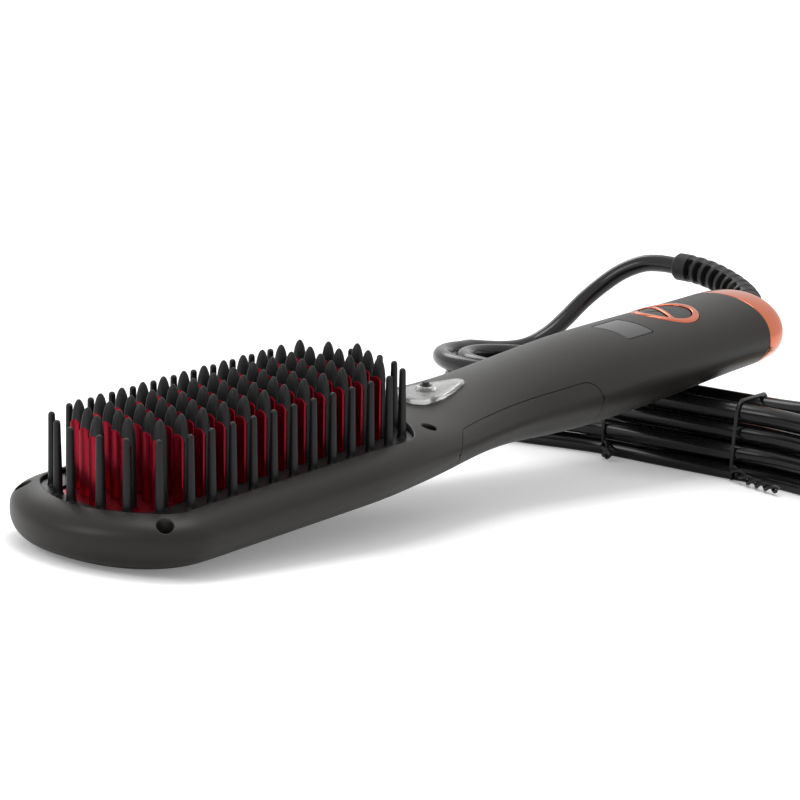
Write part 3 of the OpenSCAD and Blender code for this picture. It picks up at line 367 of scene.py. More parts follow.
def hank_point(t):
    """Cord centre after t turns: runs and round folds of one loop, spread from waist to fold."""
    t = np.asarray(t, float)
    layer = np.minimum(np.floor(t / LAYER_TURNS), LAYERS - 1)
    lap = np.floor(t / LAYER_TURNS)
    p = t - lap * LAYER_TURNS
    q = np.where(lap % 2 == 0, LAYER_TURNS - p, p)
    high = np.where(layer == 0, 0.0, layer - 1 + ease((t - layer * LAYER_TURNS) / CLIMB))
    u = t - np.floor(t)
    r = FOLD_R + q * LOOP_STEP
    s1 = -FOLD_REACH + 2 * FOLD_REACH * u / RUN
    s2 = FOLD_REACH - 2 * FOLD_REACH * (u - 0.5) / RUN
    a1 = np.pi * (u - RUN) / FOLD
    a2 = np.pi * (u - 0.5 - RUN) / FOLD

    def side(s):
        """How far from the middle line the run lies: close at the waist, wide at the folds."""
        spread = ease((np.abs(s) - WAIST_HALF) / (FOLD_REACH - WAIST_HALF))
        waist = STRAND / 2 + q * LOOP_STEP
        return waist + (r - waist) * spread

    which = [u < RUN, u < 0.5, u < 0.5 + RUN, u < 2]
    s = np.select(which, [s1, FOLD_REACH + r * np.sin(a1), s2, -FOLD_REACH - r * np.sin(a2)])
    w = np.select(which, [side(s1), r * np.cos(a1), -side(s2), -r * np.cos(a2)])
    c = hank_axis(s)
    a = np.radians(HANK_TURN + HANK_BEND * s / (2 * FOLD_REACH))
    return np.stack([c[..., 0] + w * np.cos(a), c[..., 1] + w * np.sin(a), HANK_LOW + STRAND * high], -1)


END_MID_Z = -6.6
guard_path = np.vstack([to_table([[216, 0, END_MID_Z], [223, 0, END_MID_Z]]),
                        [[149.6, 2.8, 42], [157.6, 8.8, 44.2], [163.4, 17.4, 46.4],
                         [166.8, 27.2, 48.4], [168.2, 35.4, 49.3], [168.4, 42.4, 49.4]]])
guard_coarse = smooth(guard_path, 3)
guard_tip = guard_coarse[-1]
guard_way = unit(guard_coarse[-1] - guard_coarse[-2])
lead_points = [[167.9, 54.6, 48.4], [165.8, 61.1, 45], [162.7, 66.3, 39.9], [158.3, 70.1, 34.2],
               [153.2, 72.5, 28.4], [147.2, 74.6, 23.3], [139.3, 76.8, 19.6], [129.8, 79, 18.8]]
end_points = [[148.6, -84.4, 2.6], [155, -78.4, 4.2]]
plug_entry = np.array([161.8, -67.2, 6.6])
plug_turn = np.radians(66.0)
plug_way = np.array([np.cos(plug_turn), np.sin(plug_turn), 0.0])
T_FROM, T_TO = 0.5 - FOLD / 2, LAYERS * LAYER_TURNS - FOLD / 2
HANK_PLACES, FINE = 133, 8
hank = hank_point(np.linspace(T_TO, T_FROM, HANK_PLACES * FINE + 1))
hank_in = unit(hank[0] - hank[FINE])
hank_out = unit(hank[-1] - hank[-1 - FINE])
lead = np.vstack([guard_tip, smooth(np.vstack([guard_tip + CORD_D * guard_way, lead_points,
                                               hank[0] + CORD_D * hank_in]), FINE)])
tail = np.vstack([smooth(np.vstack([hank[-1] + CORD_D * hank_out, end_points,
                                    plug_entry - CORD_D * plug_way]), FINE), plug_entry])
cord_line = np.vstack([evenly(lead, 2.0), hank[::2], evenly(tail, 2.0)])
cord_black = finish("cord_black_pvc", (0.0055, 0.0055, 0.0055), 0.2, grain_scale=900.0,
                    depth=0.00003, strength=0.15, spread=0.08, tone=0.3, Specular_IOR_Level=0.42)
SUNK_IN_GUARD = 4.0
into_guard = guard_tip - SUNK_IN_GUARD * guard_way
cord_skin = skin(tube(np.vstack([into_guard, cord_line]), CORD_R, 16, 0.0))
cord_piece = make("mains_cord", *cord_skin, cord_black)
fit(cord_piece, "brush", "cord", "cord_lead", "cord_hank", "cord_end")

# ----------------------------------------
# Cord guard.  Black soft PVC moulded on the cord: a smooth root in the end cap,
# ten slots down each side between thin ribs, and a plain collar at the tip.
GUARD_ROOT_R, GUARD_R, GUARD_RIBS, TIP_ROUND = 5.9, 4.3, 10, 0.7
RIBS_FROM, RIBS_TO, SLOT_DEEP, RIB_WAIST = 0.3, 0.93, 1.7, 0.22
SLOT_SHARE, SLOT_EDGE, SPINE_FROM, SPINE_EDGE = 0.62, 0.16, 0.80, 0.10
guard_line = evenly(smooth(guard_path, 12), 0.22)
u = np.linspace(0, 1, len(guard_line))
guard_u, guard_v = carry(guard_line)
a = ways_round(72)[None, :, None]
ring = guard_u[:, None] * np.cos(a) + guard_v[:, None] * np.sin(a)
plain = shift(u, 0, RIBS_FROM, GUARD_ROOT_R, GUARD_R) - TIP_ROUND * ease((u - 0.985) / 0.015)
phase = (u - RIBS_FROM) / (RIBS_TO - RIBS_FROM) * GUARD_RIBS
in_ribs = (phase > 0) & (phase < GUARD_RIBS)
wave = np.abs((phase % 1.0) - 0.5) * 2
slot_along = np.where(in_ribs, ease((SLOT_SHARE - wave) / SLOT_EDGE), 0.0)
# Two plain spines run along the guard, above and below; the slots lie between them.
slot_round = ease((SPINE_FROM - np.abs(ring[..., 2])) / SPINE_EDGE)
radius = plain[:, None] - slot_along[:, None] * (SLOT_DEEP * slot_round + RIB_WAIST)
guard_rings = guard_line[:, None] + radius[..., None] * ring
guard_rubber = finish("guard_soft_pvc", (0.010, 0.0097, 0.0093), 0.45, grain_scale=2500.0, depth=0.00004,
                      strength=0.5, tone=0.3, Specular_IOR_Level=0.3)
guard_piece = make("strain_guard", *skin(guard_rings), guard_rubber, sharp=50)
fit(guard_piece, "brush", "guard", "cord_guard")

# ----------------------------------------
# Wire ties.  Plastic coated wire, 1.1 mm thick, goes once round the waist of the
# hank, and its two ends are twisted together and laid on the table.
TIE_R = 0.55
TWIST_PITCH, TWIST_R, TWIST_Z, SLACK = 7.5, TIE_R + 0.1, 4.0, 0.1
all_turns = np.linspace(T_FROM, T_TO, 6001)
all_cord = hank_point(all_turns)


def round_hull(discs, count=160):
    """Outline round discs (x, y, r): for each way, the disc that reaches furthest; then even steps."""
    discs = np.asarray(discs, float)
    a = np.linspace(0, 2 * np.pi, 721)
    n = np.stack([np.cos(a), np.sin(a)], -1)
    best = np.argmax(n @ discs[:, :2].T + discs[:, 2], 1)
    p = discs[best, :2] + discs[best, 2:] * n
    return evenly(p, np.linalg.norm(np.diff(p, axis=0), axis=1).sum() / count)[:-1]


def tie_parts(s, length, way):
    """Ring round the strands that cross the tie's plane, and two twisted ends from its near side."""
    turn_s = np.radians(HANK_TURN + HANK_BEND * s / (2 * FOLD_REACH))
    c0 = hank_axis(np.array(s))
    across = np.array([np.cos(turn_s), np.sin(turn_s)])
    along = np.array([np.sin(turn_s), -np.cos(turn_s)])
    flat = all_cord[:, :2] - c0
    here = all_cord[np.abs(flat @ along) < 0.4]
    discs = np.c_[(here[:, :2] - c0) @ across, here[:, 2], np.full(len(here), CORD_R + TIE_R + SLACK)]
    p = round_hull(discs, 90)
    p[:, 1] = np.maximum(p[:, 1], TIE_R)
    # The twist starts on the near side of the ring, at its own height over the table.
    near = p[np.argmin(np.abs(p[:, 1] - TWIST_Z) + 100 * (p[:, 0] > 0))]

    def placed(w, y, z):
        """Place across and along the hank and over the table."""
        return np.c_[c0 + w[:, None] * across - y[:, None] * along, z]

    ring = placed(p[:, 0], np.zeros(len(p)), p[:, 1])
    n = int(10 * length / TWIST_PITCH)
    u = np.linspace(0, 1, n + 1)
    low = TWIST_R + TIE_R
    w = np.array([np.cos(np.radians(way)), np.sin(np.radians(way))])
    ends = []
    for start in (90, 270):
        a = 2 * np.pi * length / TWIST_PITCH * u + np.radians(start)
        r = TWIST_R * (1 + 0.5 * np.sin(np.pi * u))
        ends.append(placed(near[0] - length * u * w[0] - r * np.cos(a) * w[1],
                           -length * u * w[1] + r * np.cos(a) * w[0],
                           low + 0.6 + (near[1] - low - 0.6) * (1 - ease(u * 2.2)) + r * np.sin(a)))
    return ring, ends


def shell_loop(rings):
    """Closed wall: the last ring joins the first, so the skin has no ends."""
    m, n = rings.shape[:2]
    i, r = np.arange(n), np.arange(m)[:, None]
    j, s = (i + 1) % n, (r + 1) % m
    quads = np.stack([r * n + i, r * n + j, s * n + j, s * n + i], -1).reshape(-1, 4)
    return rings.reshape(-1, 3), quads.tolist()


def joined(parts):
    """Several skins as one set of vertices and faces."""
    verts, faces, start = [], [], 0
    for v, f in parts:
        verts.append(v)
        faces += [[k + start for k in face] for face in f]
        start += len(v)
    return np.vstack(verts), faces


tie_plastic = finish("tie_coating", (0.007, 0.007, 0.0072), 0.34, grain_scale=3500.0,
                     Specular_IOR_Level=0.35)
for name, node, s, length, way in (("wire_tie_far", "tie_far", -23.5, 9.0, 40.0),
                                   ("wire_tie_near", "tie_near", 16.0, 20.0, 62.0)):
    ring, ends = tie_parts(s, length, way)
    band = shell_loop(tube(np.vstack([ring, ring[:1]]), TIE_R, 10, 0.0)[:-1])
    tie = make(name, *joined([band] + [skin(tube(e, TIE_R, 10, 0.0)) for e in ends]), tie_plastic)
    fit(tie, "brush", "tie", node)

# ----------------------------------------
# Mains plug.  Black PVC moulded over two brass blades, with a slotted relief where
# the cord goes in; it lies on its flat side beside the hank, out of the view.
PLUG_H, PLUG_W, PLUG_L, RELIEF_L, GRIP_L, PLUG_SQUARE = 13.2, 24.0, 26.0, 22.0, 14.0, 0.45


def at_plug(p):
    """Plug drawing place to table place: its length z runs along the plug's way, x points up."""
    p = np.asarray(p, float)
    return np.stack([plug_entry[0] + p[..., 2] * plug_way[0] + p[..., 1] * plug_way[1],
                     plug_entry[1] + p[..., 2] * plug_way[1] - p[..., 1] * plug_way[0],
                     PLUG_H / 2 + p[..., 0]], -1)


z = np.linspace(0, RELIEF_L, 121)
RELIEF_PITCH, RELIEF_DEEP, SLOTS_FROM, SLOTS_TO = 3.6, 0.6, 2.0, 19.0
slots = RELIEF_DEEP * ease(np.sin(2 * np.pi * (z - SLOTS_FROM) / RELIEF_PITCH) * 1.6)
slots = slots * (z > SLOTS_FROM) * (z < SLOTS_TO)
relief_r = CORD_R + 1 + 0.06 * z - slots
a = ways_round(40)
relief = np.stack([relief_r[:, None] * np.cos(a), relief_r[:, None] * np.sin(a),
                   np.repeat(z[:, None], 40, 1)], -1)
z = np.r_[0, 0.5, 1.2, np.linspace(2.5, GRIP_L, 14), np.linspace(GRIP_L + 1, PLUG_L - 1.2, 10),
          PLUG_L - 0.7, PLUG_L - 0.25, PLUG_L]
grow = ease(z / GRIP_L)
edge = np.interp(z, [0, 0.5, 1.2, 3, PLUG_L - 1.2, PLUG_L - 0.7, PLUG_L - 0.25, PLUG_L],
                 [1.0, 0.5, 0.15, 0, 0, 0.1, 0.4, 1.0])
half_h = (PLUG_H - 3) / 2 + 1.5 * grow - edge
half_w = PLUG_W / 4 * (1 + grow) - edge
a = ways_round(72)
body = np.stack([half_h[:, None] * powered(np.cos(a), PLUG_SQUARE),
                 half_w[:, None] * powered(np.sin(a), PLUG_SQUARE),
                 np.repeat(RELIEF_L + z[:, None], 72, 1)], -1)
plug_verts, plug_faces = joined([skin(relief[:, ::-1] * [1, -1, 1]), skin(body)])
plug_black = finish("plug_black_pvc", (0.014, 0.014, 0.0145), 0.42, grain_scale=2600.0, depth=0.00004,
                    strength=0.5)
plug_piece = make("plug_moulding", at_plug(plug_verts), plug_faces, plug_black)
fit(plug_piece, "brush", "plug", "plug_body")
brass = finish("blade_brass", (0.62, 0.47, 0.22), 0.3, grain_scale=1800.0, metal=1.0, tone=0.3)
pins = coat("plug_pins", brass)

# ----------------------------------------
# Casing.  Three shells of PC/ABS with a warm charcoal soft touch coat, 2 mm thick:
# the upper one over the whole length, one under the head and one under the grip.
HEAD_W, HEAD_REACH, HEAD_END_R, HEAD_CORNER_R = 59.0, 59.6, 35.7, 16.0
NECK_W, GRIP_W, END_W, GRIP_END = 36.4, 37.2, 35.2, 213.0
HEAD_TOP, NECK_TOP, GRIP_TOP, HEAD_DEEP, GRIP_DEEP = 3.0, 1.2, 5.0, 13.6, 18.9
SPLIT_Z, WALL, FIT, RIM = -6.2, 2.0, 0.25, 7.2
HALF = HEAD_W / 2


def barrel_y(x, hx, hy, re, rc):
    """Half width of the head outline: straight side, corner arc of rc, end arc of re."""
    cx = hx - re + np.sqrt((re - rc) ** 2 - (hy - rc) ** 2)
    tx = hx - re + re * (cx - hx + re) / (re - rc)
    corner = hy - rc + np.sqrt(np.maximum(rc * rc - (x - cx) ** 2, 0))
    end = np.sqrt(np.maximum(re * re - (x - hx + re) ** 2, 0))
    return np.where(x <= cx, hy, np.where(x <= tx, corner, end))


def half_width(x, inset=0.0):
    """Half width of the casing: barrel outline of the head, then smooth steps to neck and grip."""
    x = np.asarray(x, float)
    head = barrel_y(-x, HEAD_REACH - inset, HALF - inset, HEAD_END_R - inset, HEAD_CORNER_R - inset)
    rest = np.where(x < 104, shift(x, 18, 104, HALF, NECK_W / 2),
                    np.where(x < 150, shift(x, 104, 150, NECK_W / 2, GRIP_W / 2),
                             shift(x, 150, GRIP_END, GRIP_W / 2, END_W / 2)))
    return np.where(x < 0, head, rest - inset)


def top_line(x):
    """Height of the casing top along its middle."""
    return (shift(x, 38, 68, HEAD_TOP, NECK_TOP) + shift(x, 66, 148, 0, GRIP_TOP - NECK_TOP)
            - shift(x, 150, GRIP_END, 0, 0.6))


def low_line(x):
    """Height of the casing underside along its middle."""
    return -shift(x, 60, 140, HEAD_DEEP, GRIP_DEEP) + shift(x, 150, GRIP_END, 0, 1.3)


def roundness(x):
    """Power of the section: 1 is an ellipse, less is squarer."""
    return shift(x, 45, 100, 0.75, 0.95)


def closing(x, inset=0.0):
    """How far the section keeps its height towards the round end of the head."""
    u = np.clip((-np.asarray(x, float) - (HEAD_REACH - HALF)) / (HALF - inset), 0, 1)
    return np.where(u <= 0, 1.0, np.maximum(1 - u ** (2 / 0.75), 0) ** 0.375)


def casing_rings(x, inset=0.0, around=112):
    """Sections: half width and half height times powers of cosine and sine, moved in by inset."""
    x = np.asarray(x, float)[:, None]
    a = ways_round(around)[None]
    e = roundness(x)
    w = half_width(x, inset)
    h = (top_line(x) - low_line(x)) / 2 - inset
    mid = (top_line(x) + low_line(x)) / 2
    y = w * powered(np.cos(a), e)
    z = mid + h * closing(x, inset) * powered(np.sin(a), e)
    return np.stack([np.broadcast_to(x, y.shape), y, z], -1)


def casing_top(x, y, inset=0.0):
    """Height of the casing over a place: the section's own formula solved for z."""
    e = roundness(x)
    w = np.maximum(half_width(x, inset), 1e-6)
    h = ((top_line(x) - low_line(x)) / 2 - inset) * closing(x, inset)
    k = np.maximum(1 - np.minimum(np.abs(y) / w, 1) ** (2 / e), 0)
    return (top_line(x) + low_line(x)) / 2 + h * k ** (e / 2)


def casing_stations(inset, last, step):
    """Places along the casing: close together round the head end, then a step apart."""
    start = HEAD_REACH - HALF
    nose = -start - (HALF - inset - 0.02) * np.cos(np.linspace(0, np.pi / 2, 41))
    return np.r_[nose, np.linspace(-start, last, int((last + start) / step))[1:]]


def bed_outline(inset, squeeze=0.0, arc=28, run=30):
    """Closed outline of the tooth bed: the head's barrel outline moved in, on both ends."""
    hx, hy = HEAD_REACH - inset, HALF - inset - squeeze
    re, rc = HEAD_END_R - inset, HEAD_CORNER_R - inset
    cx, cy = hx - re + np.sqrt((re - rc) ** 2 - (hy - rc) ** 2), hy - rc
    turn_at = np.arctan2(cy, cx - hx + re)
    a1 = np.linspace(0, turn_at, arc)[:-1]
    a2 = np.linspace(turn_at, np.pi / 2, arc)
    q = np.vstack([np.stack([hx - re + re * np.cos(a1), re * np.sin(a1)], -1),
                   np.stack([cx + rc * np.cos(a2), cy + rc * np.sin(a2)], -1),
                   np.stack([np.linspace(cx, 0, run)[1:], np.full(run - 1, hy)], -1)])
    half = np.vstack([q, q[-2::-1] * [-1, 1]])
    return np.vstack([half, half[-2:0:-1] * [1, -1]])


def outline_normals(outline):
    """Unit directions out of a closed counterclockwise outline."""
    t = unit(np.roll(outline, -1, 0) - np.roll(outline, 1, 0))
    return np.stack([t[:, 1], -t[:, 0]], -1)


def edge_cutter(outline, r, low, high, top=casing_top):
    """A plug that cuts the outline out of a surface and rounds the edge of the hole with radius r."""
    n = outline_normals(outline)
    theta = np.linspace(0, np.radians(75), 7)[:, None]
    p = outline[None] + n[None] * (r * (1 - np.cos(theta)))[..., None]
    z = top(p[..., 0], p[..., 1]) - r * (1 - np.sin(theta))
    arc = np.concatenate([p, z[..., None]], -1)
    first = np.concatenate([outline, np.full((len(outline), 1), low)], 1)[None]
    last = np.concatenate([p[-1], np.full((len(outline), 1), high)], 1)[None]
    return skin(np.vstack([first, arc, last]))


def prism(outline, low, high):
    """Straight solid on an outline in x and y."""
    a = np.concatenate([outline, np.full((len(outline), 1), low)], 1)
    b = np.concatenate([outline, np.full((len(outline), 1), high)], 1)
    return skin(np.stack([a, b]))


def box_mesh(x0, x1, y0, y1, z0, z1):
    """Straight box between two corners."""
    return prism(np.array([[x1, y0], [x1, y1], [x0, y1], [x0, y0]]), z0, z1)


def carve(piece, operation, *solids):
    """The piece joined with, kept inside or cut by solids given as vertices and faces in mm."""
    for verts, faces in solids:
        tool = make("tool", verts, faces)
        mod = piece.modifiers.new("carve", "BOOLEAN")
        mod.operation = operation
        mod.solver = "MANIFOLD"
        mod.object = tool
        deps = bpy.context.evaluated_depsgraph_get()
        mesh = bpy.data.meshes.new_from_object(piece.evaluated_get(deps))
        piece.modifiers.clear()
        old, piece.data = piece.data, mesh
        bpy.data.meshes.remove(old)
        bpy.data.objects.remove(tool)
    return piece


def places_of(mesh):
    """The mesh's vertices in mm."""
    co = np.empty(len(mesh.vertices) * 3)
    mesh.vertices.foreach_get("co", co)
    return co.reshape(-1, 3) * 1000


def settle(piece, material, sharp=30.0):
    """Lays a piece drawn along the brush down on the table, shades it and gives its finish."""
    mesh = piece.data
    mesh.vertices.foreach_set("co", (to_table(places_of(mesh)) * 0.001).ravel())
    mesh.update()
    mesh.polygons.foreach_set("use_smooth", np.ones(len(mesh.polygons), bool))
    mesh.set_sharp_from_angle(angle=np.radians(sharp))
    mesh.name = piece.name
    mesh.materials.clear()
    mesh.materials.append(material)


def post(x, y, r, z0, z1, sides=48):
    """Round post."""
    a = ways_round(sides)
    return prism(np.stack([x + r * np.cos(a), y + r * np.sin(a)], -1), z0, z1)


TANK_X0, TANK_X1, TANK_GAP, TANK_TOP = 57.0, 128.0, 0.16, -1.7
SCREW_SPOTS = [(x, s * y) for x, y in ((-46.9, 22.9), (52.6, 18.1)) for s in (-1, 1)]
WELL_Z, WELL_D, PILOT_R, BOSS_SCREW_R = -4.8, 3.8, 1.12, 3.0
FAR, BEYOND_HEAD = 40.0, -70.0
SPINE_HALF, SPINE_LOW, SPINE_WALL, SPINE_X0 = 9.7, -6.3, 1.1, 49.4
DISPLAY = (157.9, -2.9, 12.5, 13.2)
FILLER_X, FILLER_D = 73.5, 7.6
BEZEL_X, BEZEL_R, BEZEL_BAND, BAR_W, BAR_OFF = 183.2, 10.0, 2.1, 1.3, 1.1
BEZEL_TURN = np.radians(148.0)


def tank_zone(gap):
    """Space of the tank seen from the side: a block with its two upper corners rounded."""
    x0, x1, top, r = TANK_X0 + gap, TANK_X1 - gap, TANK_TOP - gap, 7.0
    a = np.linspace(0, np.pi / 2, 13)
    arc1 = np.stack([x1 - r + r * np.cos(a), top - r + r * np.sin(a)], -1)
    arc0 = np.stack([x0 + r - r * np.cos(a[::-1]), top - r + r * np.sin(a[::-1])], -1)
    outline = np.vstack([[[x0, -FAR], [x1, -FAR]], arc1, arc0])
    front = np.stack([outline[:, 0], np.full(len(outline), FAR), outline[:, 1]], -1)
    rear = front * [1, -1, 1]
    return skin(np.stack([front, rear]))


def display_outline(r, less=0.0):
    """Rounded square of the display."""
    x, y, l, w = DISPLAY
    return round_hull([(x + sx * (l / 2 - r - less), y + sy * (w / 2 - r - less), r)
                       for sx in (-1, 1) for sy in (-1, 1)])


def soft_touch(name, color):
    """The coat that all the shells share: a fine grain, faint broad patches and a low sheen."""
    return finish(name, color, 0.4, grain_scale=2600.0, depth=0.00005, patch_scale=25.0, strength=0.5,
                  tone=0.16, spread=0.08, Specular_IOR_Level=0.3)


charcoal = soft_touch("casing_soft_touch", (0.0105, 0.0088, 0.0068))
full = skin(casing_rings(casing_stations(0.0, GRIP_END, 1.6)))
hollow = skin(casing_rings(casing_stations(WALL, GRIP_END + 5, 4.0), WALL, 64))
inside = make("inside", *hollow)
spine = box_mesh(TANK_X0 - 1, TANK_X1 + 1, -SPINE_HALF, SPINE_HALF, SPINE_LOW, 0.0)
carve(inside, "DIFFERENCE", *[post(x, y, BOSS_SCREW_R, SPLIT_Z - 1, FAR) for x, y in SCREW_SPOTS], spine)
room_above = make("room_above", *prism(bed_outline(WALL + 0.4), -3.6, -2.0))
carve(room_above, "DIFFERENCE", prism(bed_outline(RIM + 1.5), -5.0, 1.0))


def solid_of(piece):
    """Vertices in mm and faces of a drawing solid, which is then thrown away."""
    verts, faces = places_of(piece.data), [list(p.vertices) for p in piece.data.polygons]
    bpy.data.objects.remove(piece)
    return verts, faces


carve(inside, "DIFFERENCE", solid_of(room_above))
inside = solid_of(inside)
slot_for_tank = make("slot_for_tank", *tank_zone(0.0))
carve(slot_for_tank, "DIFFERENCE", spine)
slot_for_tank = solid_of(slot_for_tank)
a = ways_round(160)
bezel_circle = np.stack([BEZEL_X + BEZEL_R * np.cos(a), BEZEL_R * np.sin(a)], -1)
well_circle = 0.5 * WELL_D * np.stack([np.cos(a[::4]), np.sin(a[::4])], -1)
upper = make("upper_casing", *full)
carve(upper, "INTERSECT", box_mesh(BEYOND_HEAD, GRIP_END, -FAR, FAR, SPLIT_Z, FAR))
carve(upper, "DIFFERENCE", inside, slot_for_tank,
      edge_cutter(bed_outline(RIM), 0.5, -2.0, FAR),
      edge_cutter(display_outline(0.8), 0.3, -5.0, FAR),
      edge_cutter(bezel_circle, 0.25, -5.0, FAR),
      post(FILLER_X, 0, FILLER_D / 2 + TANK_GAP, -20.0, 20.0),
      *[edge_cutter(well_circle + spot, 0.35, WELL_Z, FAR) for spot in SCREW_SPOTS],
      *[post(x, y, PILOT_R, SPLIT_Z - 1, FAR, 24) for x, y in SCREW_SPOTS],
      box_mesh(SPINE_X0, TANK_X1 + 2, -SPINE_HALF + SPINE_WALL, SPINE_HALF - SPINE_WALL,
               SPINE_LOW + SPINE_WALL, NECK_TOP - WALL))
settle(upper, charcoal)
fit(upper, "brush", "casing", "upper_shell")

# The two under shells get a darker copy of the casing's coat: painted shade on the underside of the brush.
shaded_lower_charcoal = soft_touch("lower_casing_soft_touch_painted_shade", (0.0095, 0.0080, 0.0062))
for name, node, x0, x1 in (("head_under_casing", "head_base", BEYOND_HEAD, TANK_X0),
                           ("grip_under_casing", "grip_base", TANK_X1, GRIP_END)):
    under = make(name, *full)
    carve(under, "INTERSECT", box_mesh(x0, x1, -FAR, FAR, -FAR, SPLIT_Z))
    carve(under, "DIFFERENCE", hollow)
    settle(under, shaded_lower_charcoal)
    fit(under, "brush", "casing_lower", node)

# ----------------------------------------
# Water tank.  It forms the underside of the neck, with its filler neck standing up
# in the casing's hole; PC/ABS with the same coat, set in with a hairline gap.
NECK_BORE_R = 2.5
# The tank gets a copy of the casing's coat, a little darker than the upper shell: painted shade on the
# underside of the neck.
tank_shaded_black = soft_touch("tank_soft_touch_painted_shade", (0.0100, 0.0084, 0.0065))
tank = make("water_tank_shell", *full)
carve(tank, "INTERSECT", tank_zone(TANK_GAP))
carve(tank, "DIFFERENCE", box_mesh(TANK_X0 - 1, TANK_X1 + 1, -10.0, 10.0, -6.6, FAR))
carve(tank, "UNION", post(FILLER_X, 0, FILLER_D / 2, -8.0, -0.4))
carve(tank, "DIFFERENCE", post(FILLER_X, 0, NECK_BORE_R, -12.0, FAR))
settle(tank, tank_shaded_black)
fit(tank, "brush", "tank", "water_tank")

# ----------------------------------------
# Comb frame and guard rods.  One moulding of black heat-proof nylon: a flat frame in
# the bed, and a fence of thin tapered rods round the teeth that keeps hands off.
ROD_H, ROD_FOOT, ROD_TIP, ROD_Y, PITCH, ROW = 17.6, 1.12, 0.82, 19.5, 7.0, 6.5
nylon = finish("comb_black_nylon", (0.0055, 0.0056, 0.0058), 0.4, grain_scale=3200.0, depth=0.00004,
               strength=0.5, tone=0.3, Specular_IOR_Level=0.3)
WINDOW, SQUEEZE, LIP_SQUEEZE, LIP_LOW = 11.3, 2.2, 3.45, -0.58
deck = make("comb_deck", *prism(bed_outline(RIM + FIT), -2.0, 0.0))
carve(deck, "DIFFERENCE", prism(bed_outline(WINDOW, SQUEEZE), -3.0, LIP_LOW),
      prism(bed_outline(WINDOW, LIP_SQUEEZE), -3.0, 1.0))
settle(deck, nylon)
fit(deck, "brush", "comb", "comb_frame")


def turned(profile, sides):
    """Rings of a turned solid: radius and height pairs round the z axis."""
    a = ways_round(sides)[None]
    r, z = profile[:, :1], profile[:, 1:]
    return np.stack([r * np.cos(a), r * np.sin(a), np.broadcast_to(z, (len(profile), sides))], -1)


def scatter(rings, places):
    """The same small solid at many places, as one set of vertices and faces."""
    v, f = skin(rings)
    f4 = [x for x in f if len(x) == 4]
    f3 = [x for x in f if len(x) == 3]
    step = (np.arange(len(places)) * len(v))[:, None, None]
    all_v = (v[None] + np.asarray(places, float)[:, None]).reshape(-1, 3)
    q = (np.array(f4)[None] + step).reshape(-1, 4).tolist()
    t = (np.array(f3)[None] + step).reshape(-1, 3).tolist()
    return all_v, q + t


t = np.linspace(0, np.pi / 2, 6)
rod_profile = np.vstack([[[ROD_FOOT + 0.45, -0.3], [ROD_FOOT + 0.2, 0.05], [ROD_FOOT + 0.04, 0.4],
                          [ROD_FOOT, 1.2], [(ROD_FOOT + ROD_TIP) / 2, 9.0]],
                         np.stack([ROD_TIP * np.cos(t), ROD_H - ROD_TIP * (1 - np.sin(t))], -1)])
rod_profile[-1, 0] = 0.02
# Eleven rods stand along each side, and six more round each end on an arc.
END_X, END_R, END_WAYS = 23.9, 25.6, np.radians([10.6, 25.8, 42.4])
side_x = (np.arange(11) - 5) * PITCH
rod_places = [(x, s * ROD_Y, 0) for s in (-1, 1) for x in side_x]
rod_places += [(sx * (END_X + END_R * np.cos(b)), sy * END_R * np.sin(b), 0)
               for sx in (-1, 1) for sy in (-1, 1) for b in END_WAYS]
rods = make("guard_rod_fence", *scatter(turned(rod_profile, 14), rod_places))
settle(rods, nylon, sharp=50)
fit(rods, "brush", "rods", "guard_rods")

# ----------------------------------------
# Heat plate and blades.  Crimson anodised aluminium: a plate with steam vents, and 64
# flat blades with round tops that stand before the tooth caps and heat the hair.
TIP_H, BLADE_W, BLADE_T, BLADE_H, BLADE_BACK, PLATE_TOP = 20.4, 3.1, 0.8, 15.9, 0.4, -0.6
BLADE_MID, EDGE_R, EDGE_STEP = 7.0, 0.2, 0.06
crimson = finish("crimson_anodised", (0.27, 0.004, 0.018), 0.3, grain_scale=5000.0, depth=0.00002,
                 metal=0.85, tone=0.3, strength=0.4)
coat("heat_plate", crimson)
# Five rows of 14, 13 or 12 teeth: each row is set half a pitch off the next.
tooth_places = [((i - (13 - abs(r)) / 2) * PITCH, r * ROW, 0)
                for r in range(-2, 3) for i in range(14 - abs(r))]
b = np.linspace(0, np.pi, 15)
arch = np.stack([BLADE_W / 2 * np.cos(b), BLADE_H - BLADE_W / 2 + BLADE_W / 2 * np.sin(b)], -1)
face_line = np.vstack([[[-BLADE_W / 2, PLATE_TOP], [BLADE_W / 2, PLATE_TOP], [BLADE_W / 2, BLADE_MID]], arch,
                       [[-BLADE_W / 2, BLADE_MID]]])
middle = np.array([0.0, BLADE_MID])
# The face is drawn in a little at the two sides of the sheet, which rounds its edge.
through = np.array([0.0, EDGE_STEP, EDGE_R, BLADE_T - EDGE_R, BLADE_T - EDGE_STEP, BLADE_T])
less = np.array([EDGE_R, EDGE_STEP, 0.0, 0.0, EDGE_STEP, EDGE_R])[:, None, None]
faces_yz = middle + (face_line - middle) * (1 - less / [BLADE_W / 2, BLADE_H - BLADE_MID])
sheet_x = np.broadcast_to((-BLADE_BACK - through)[:, None, None], faces_yz[..., :1].shape)
rings = np.concatenate([sheet_x, faces_yz], -1)
blades = make("blade_field", *scatter(rings[:, ::-1], tooth_places))
settle(blades, crimson, sharp=40)
fit(blades, "brush", "heat_blades", "heat_blades")

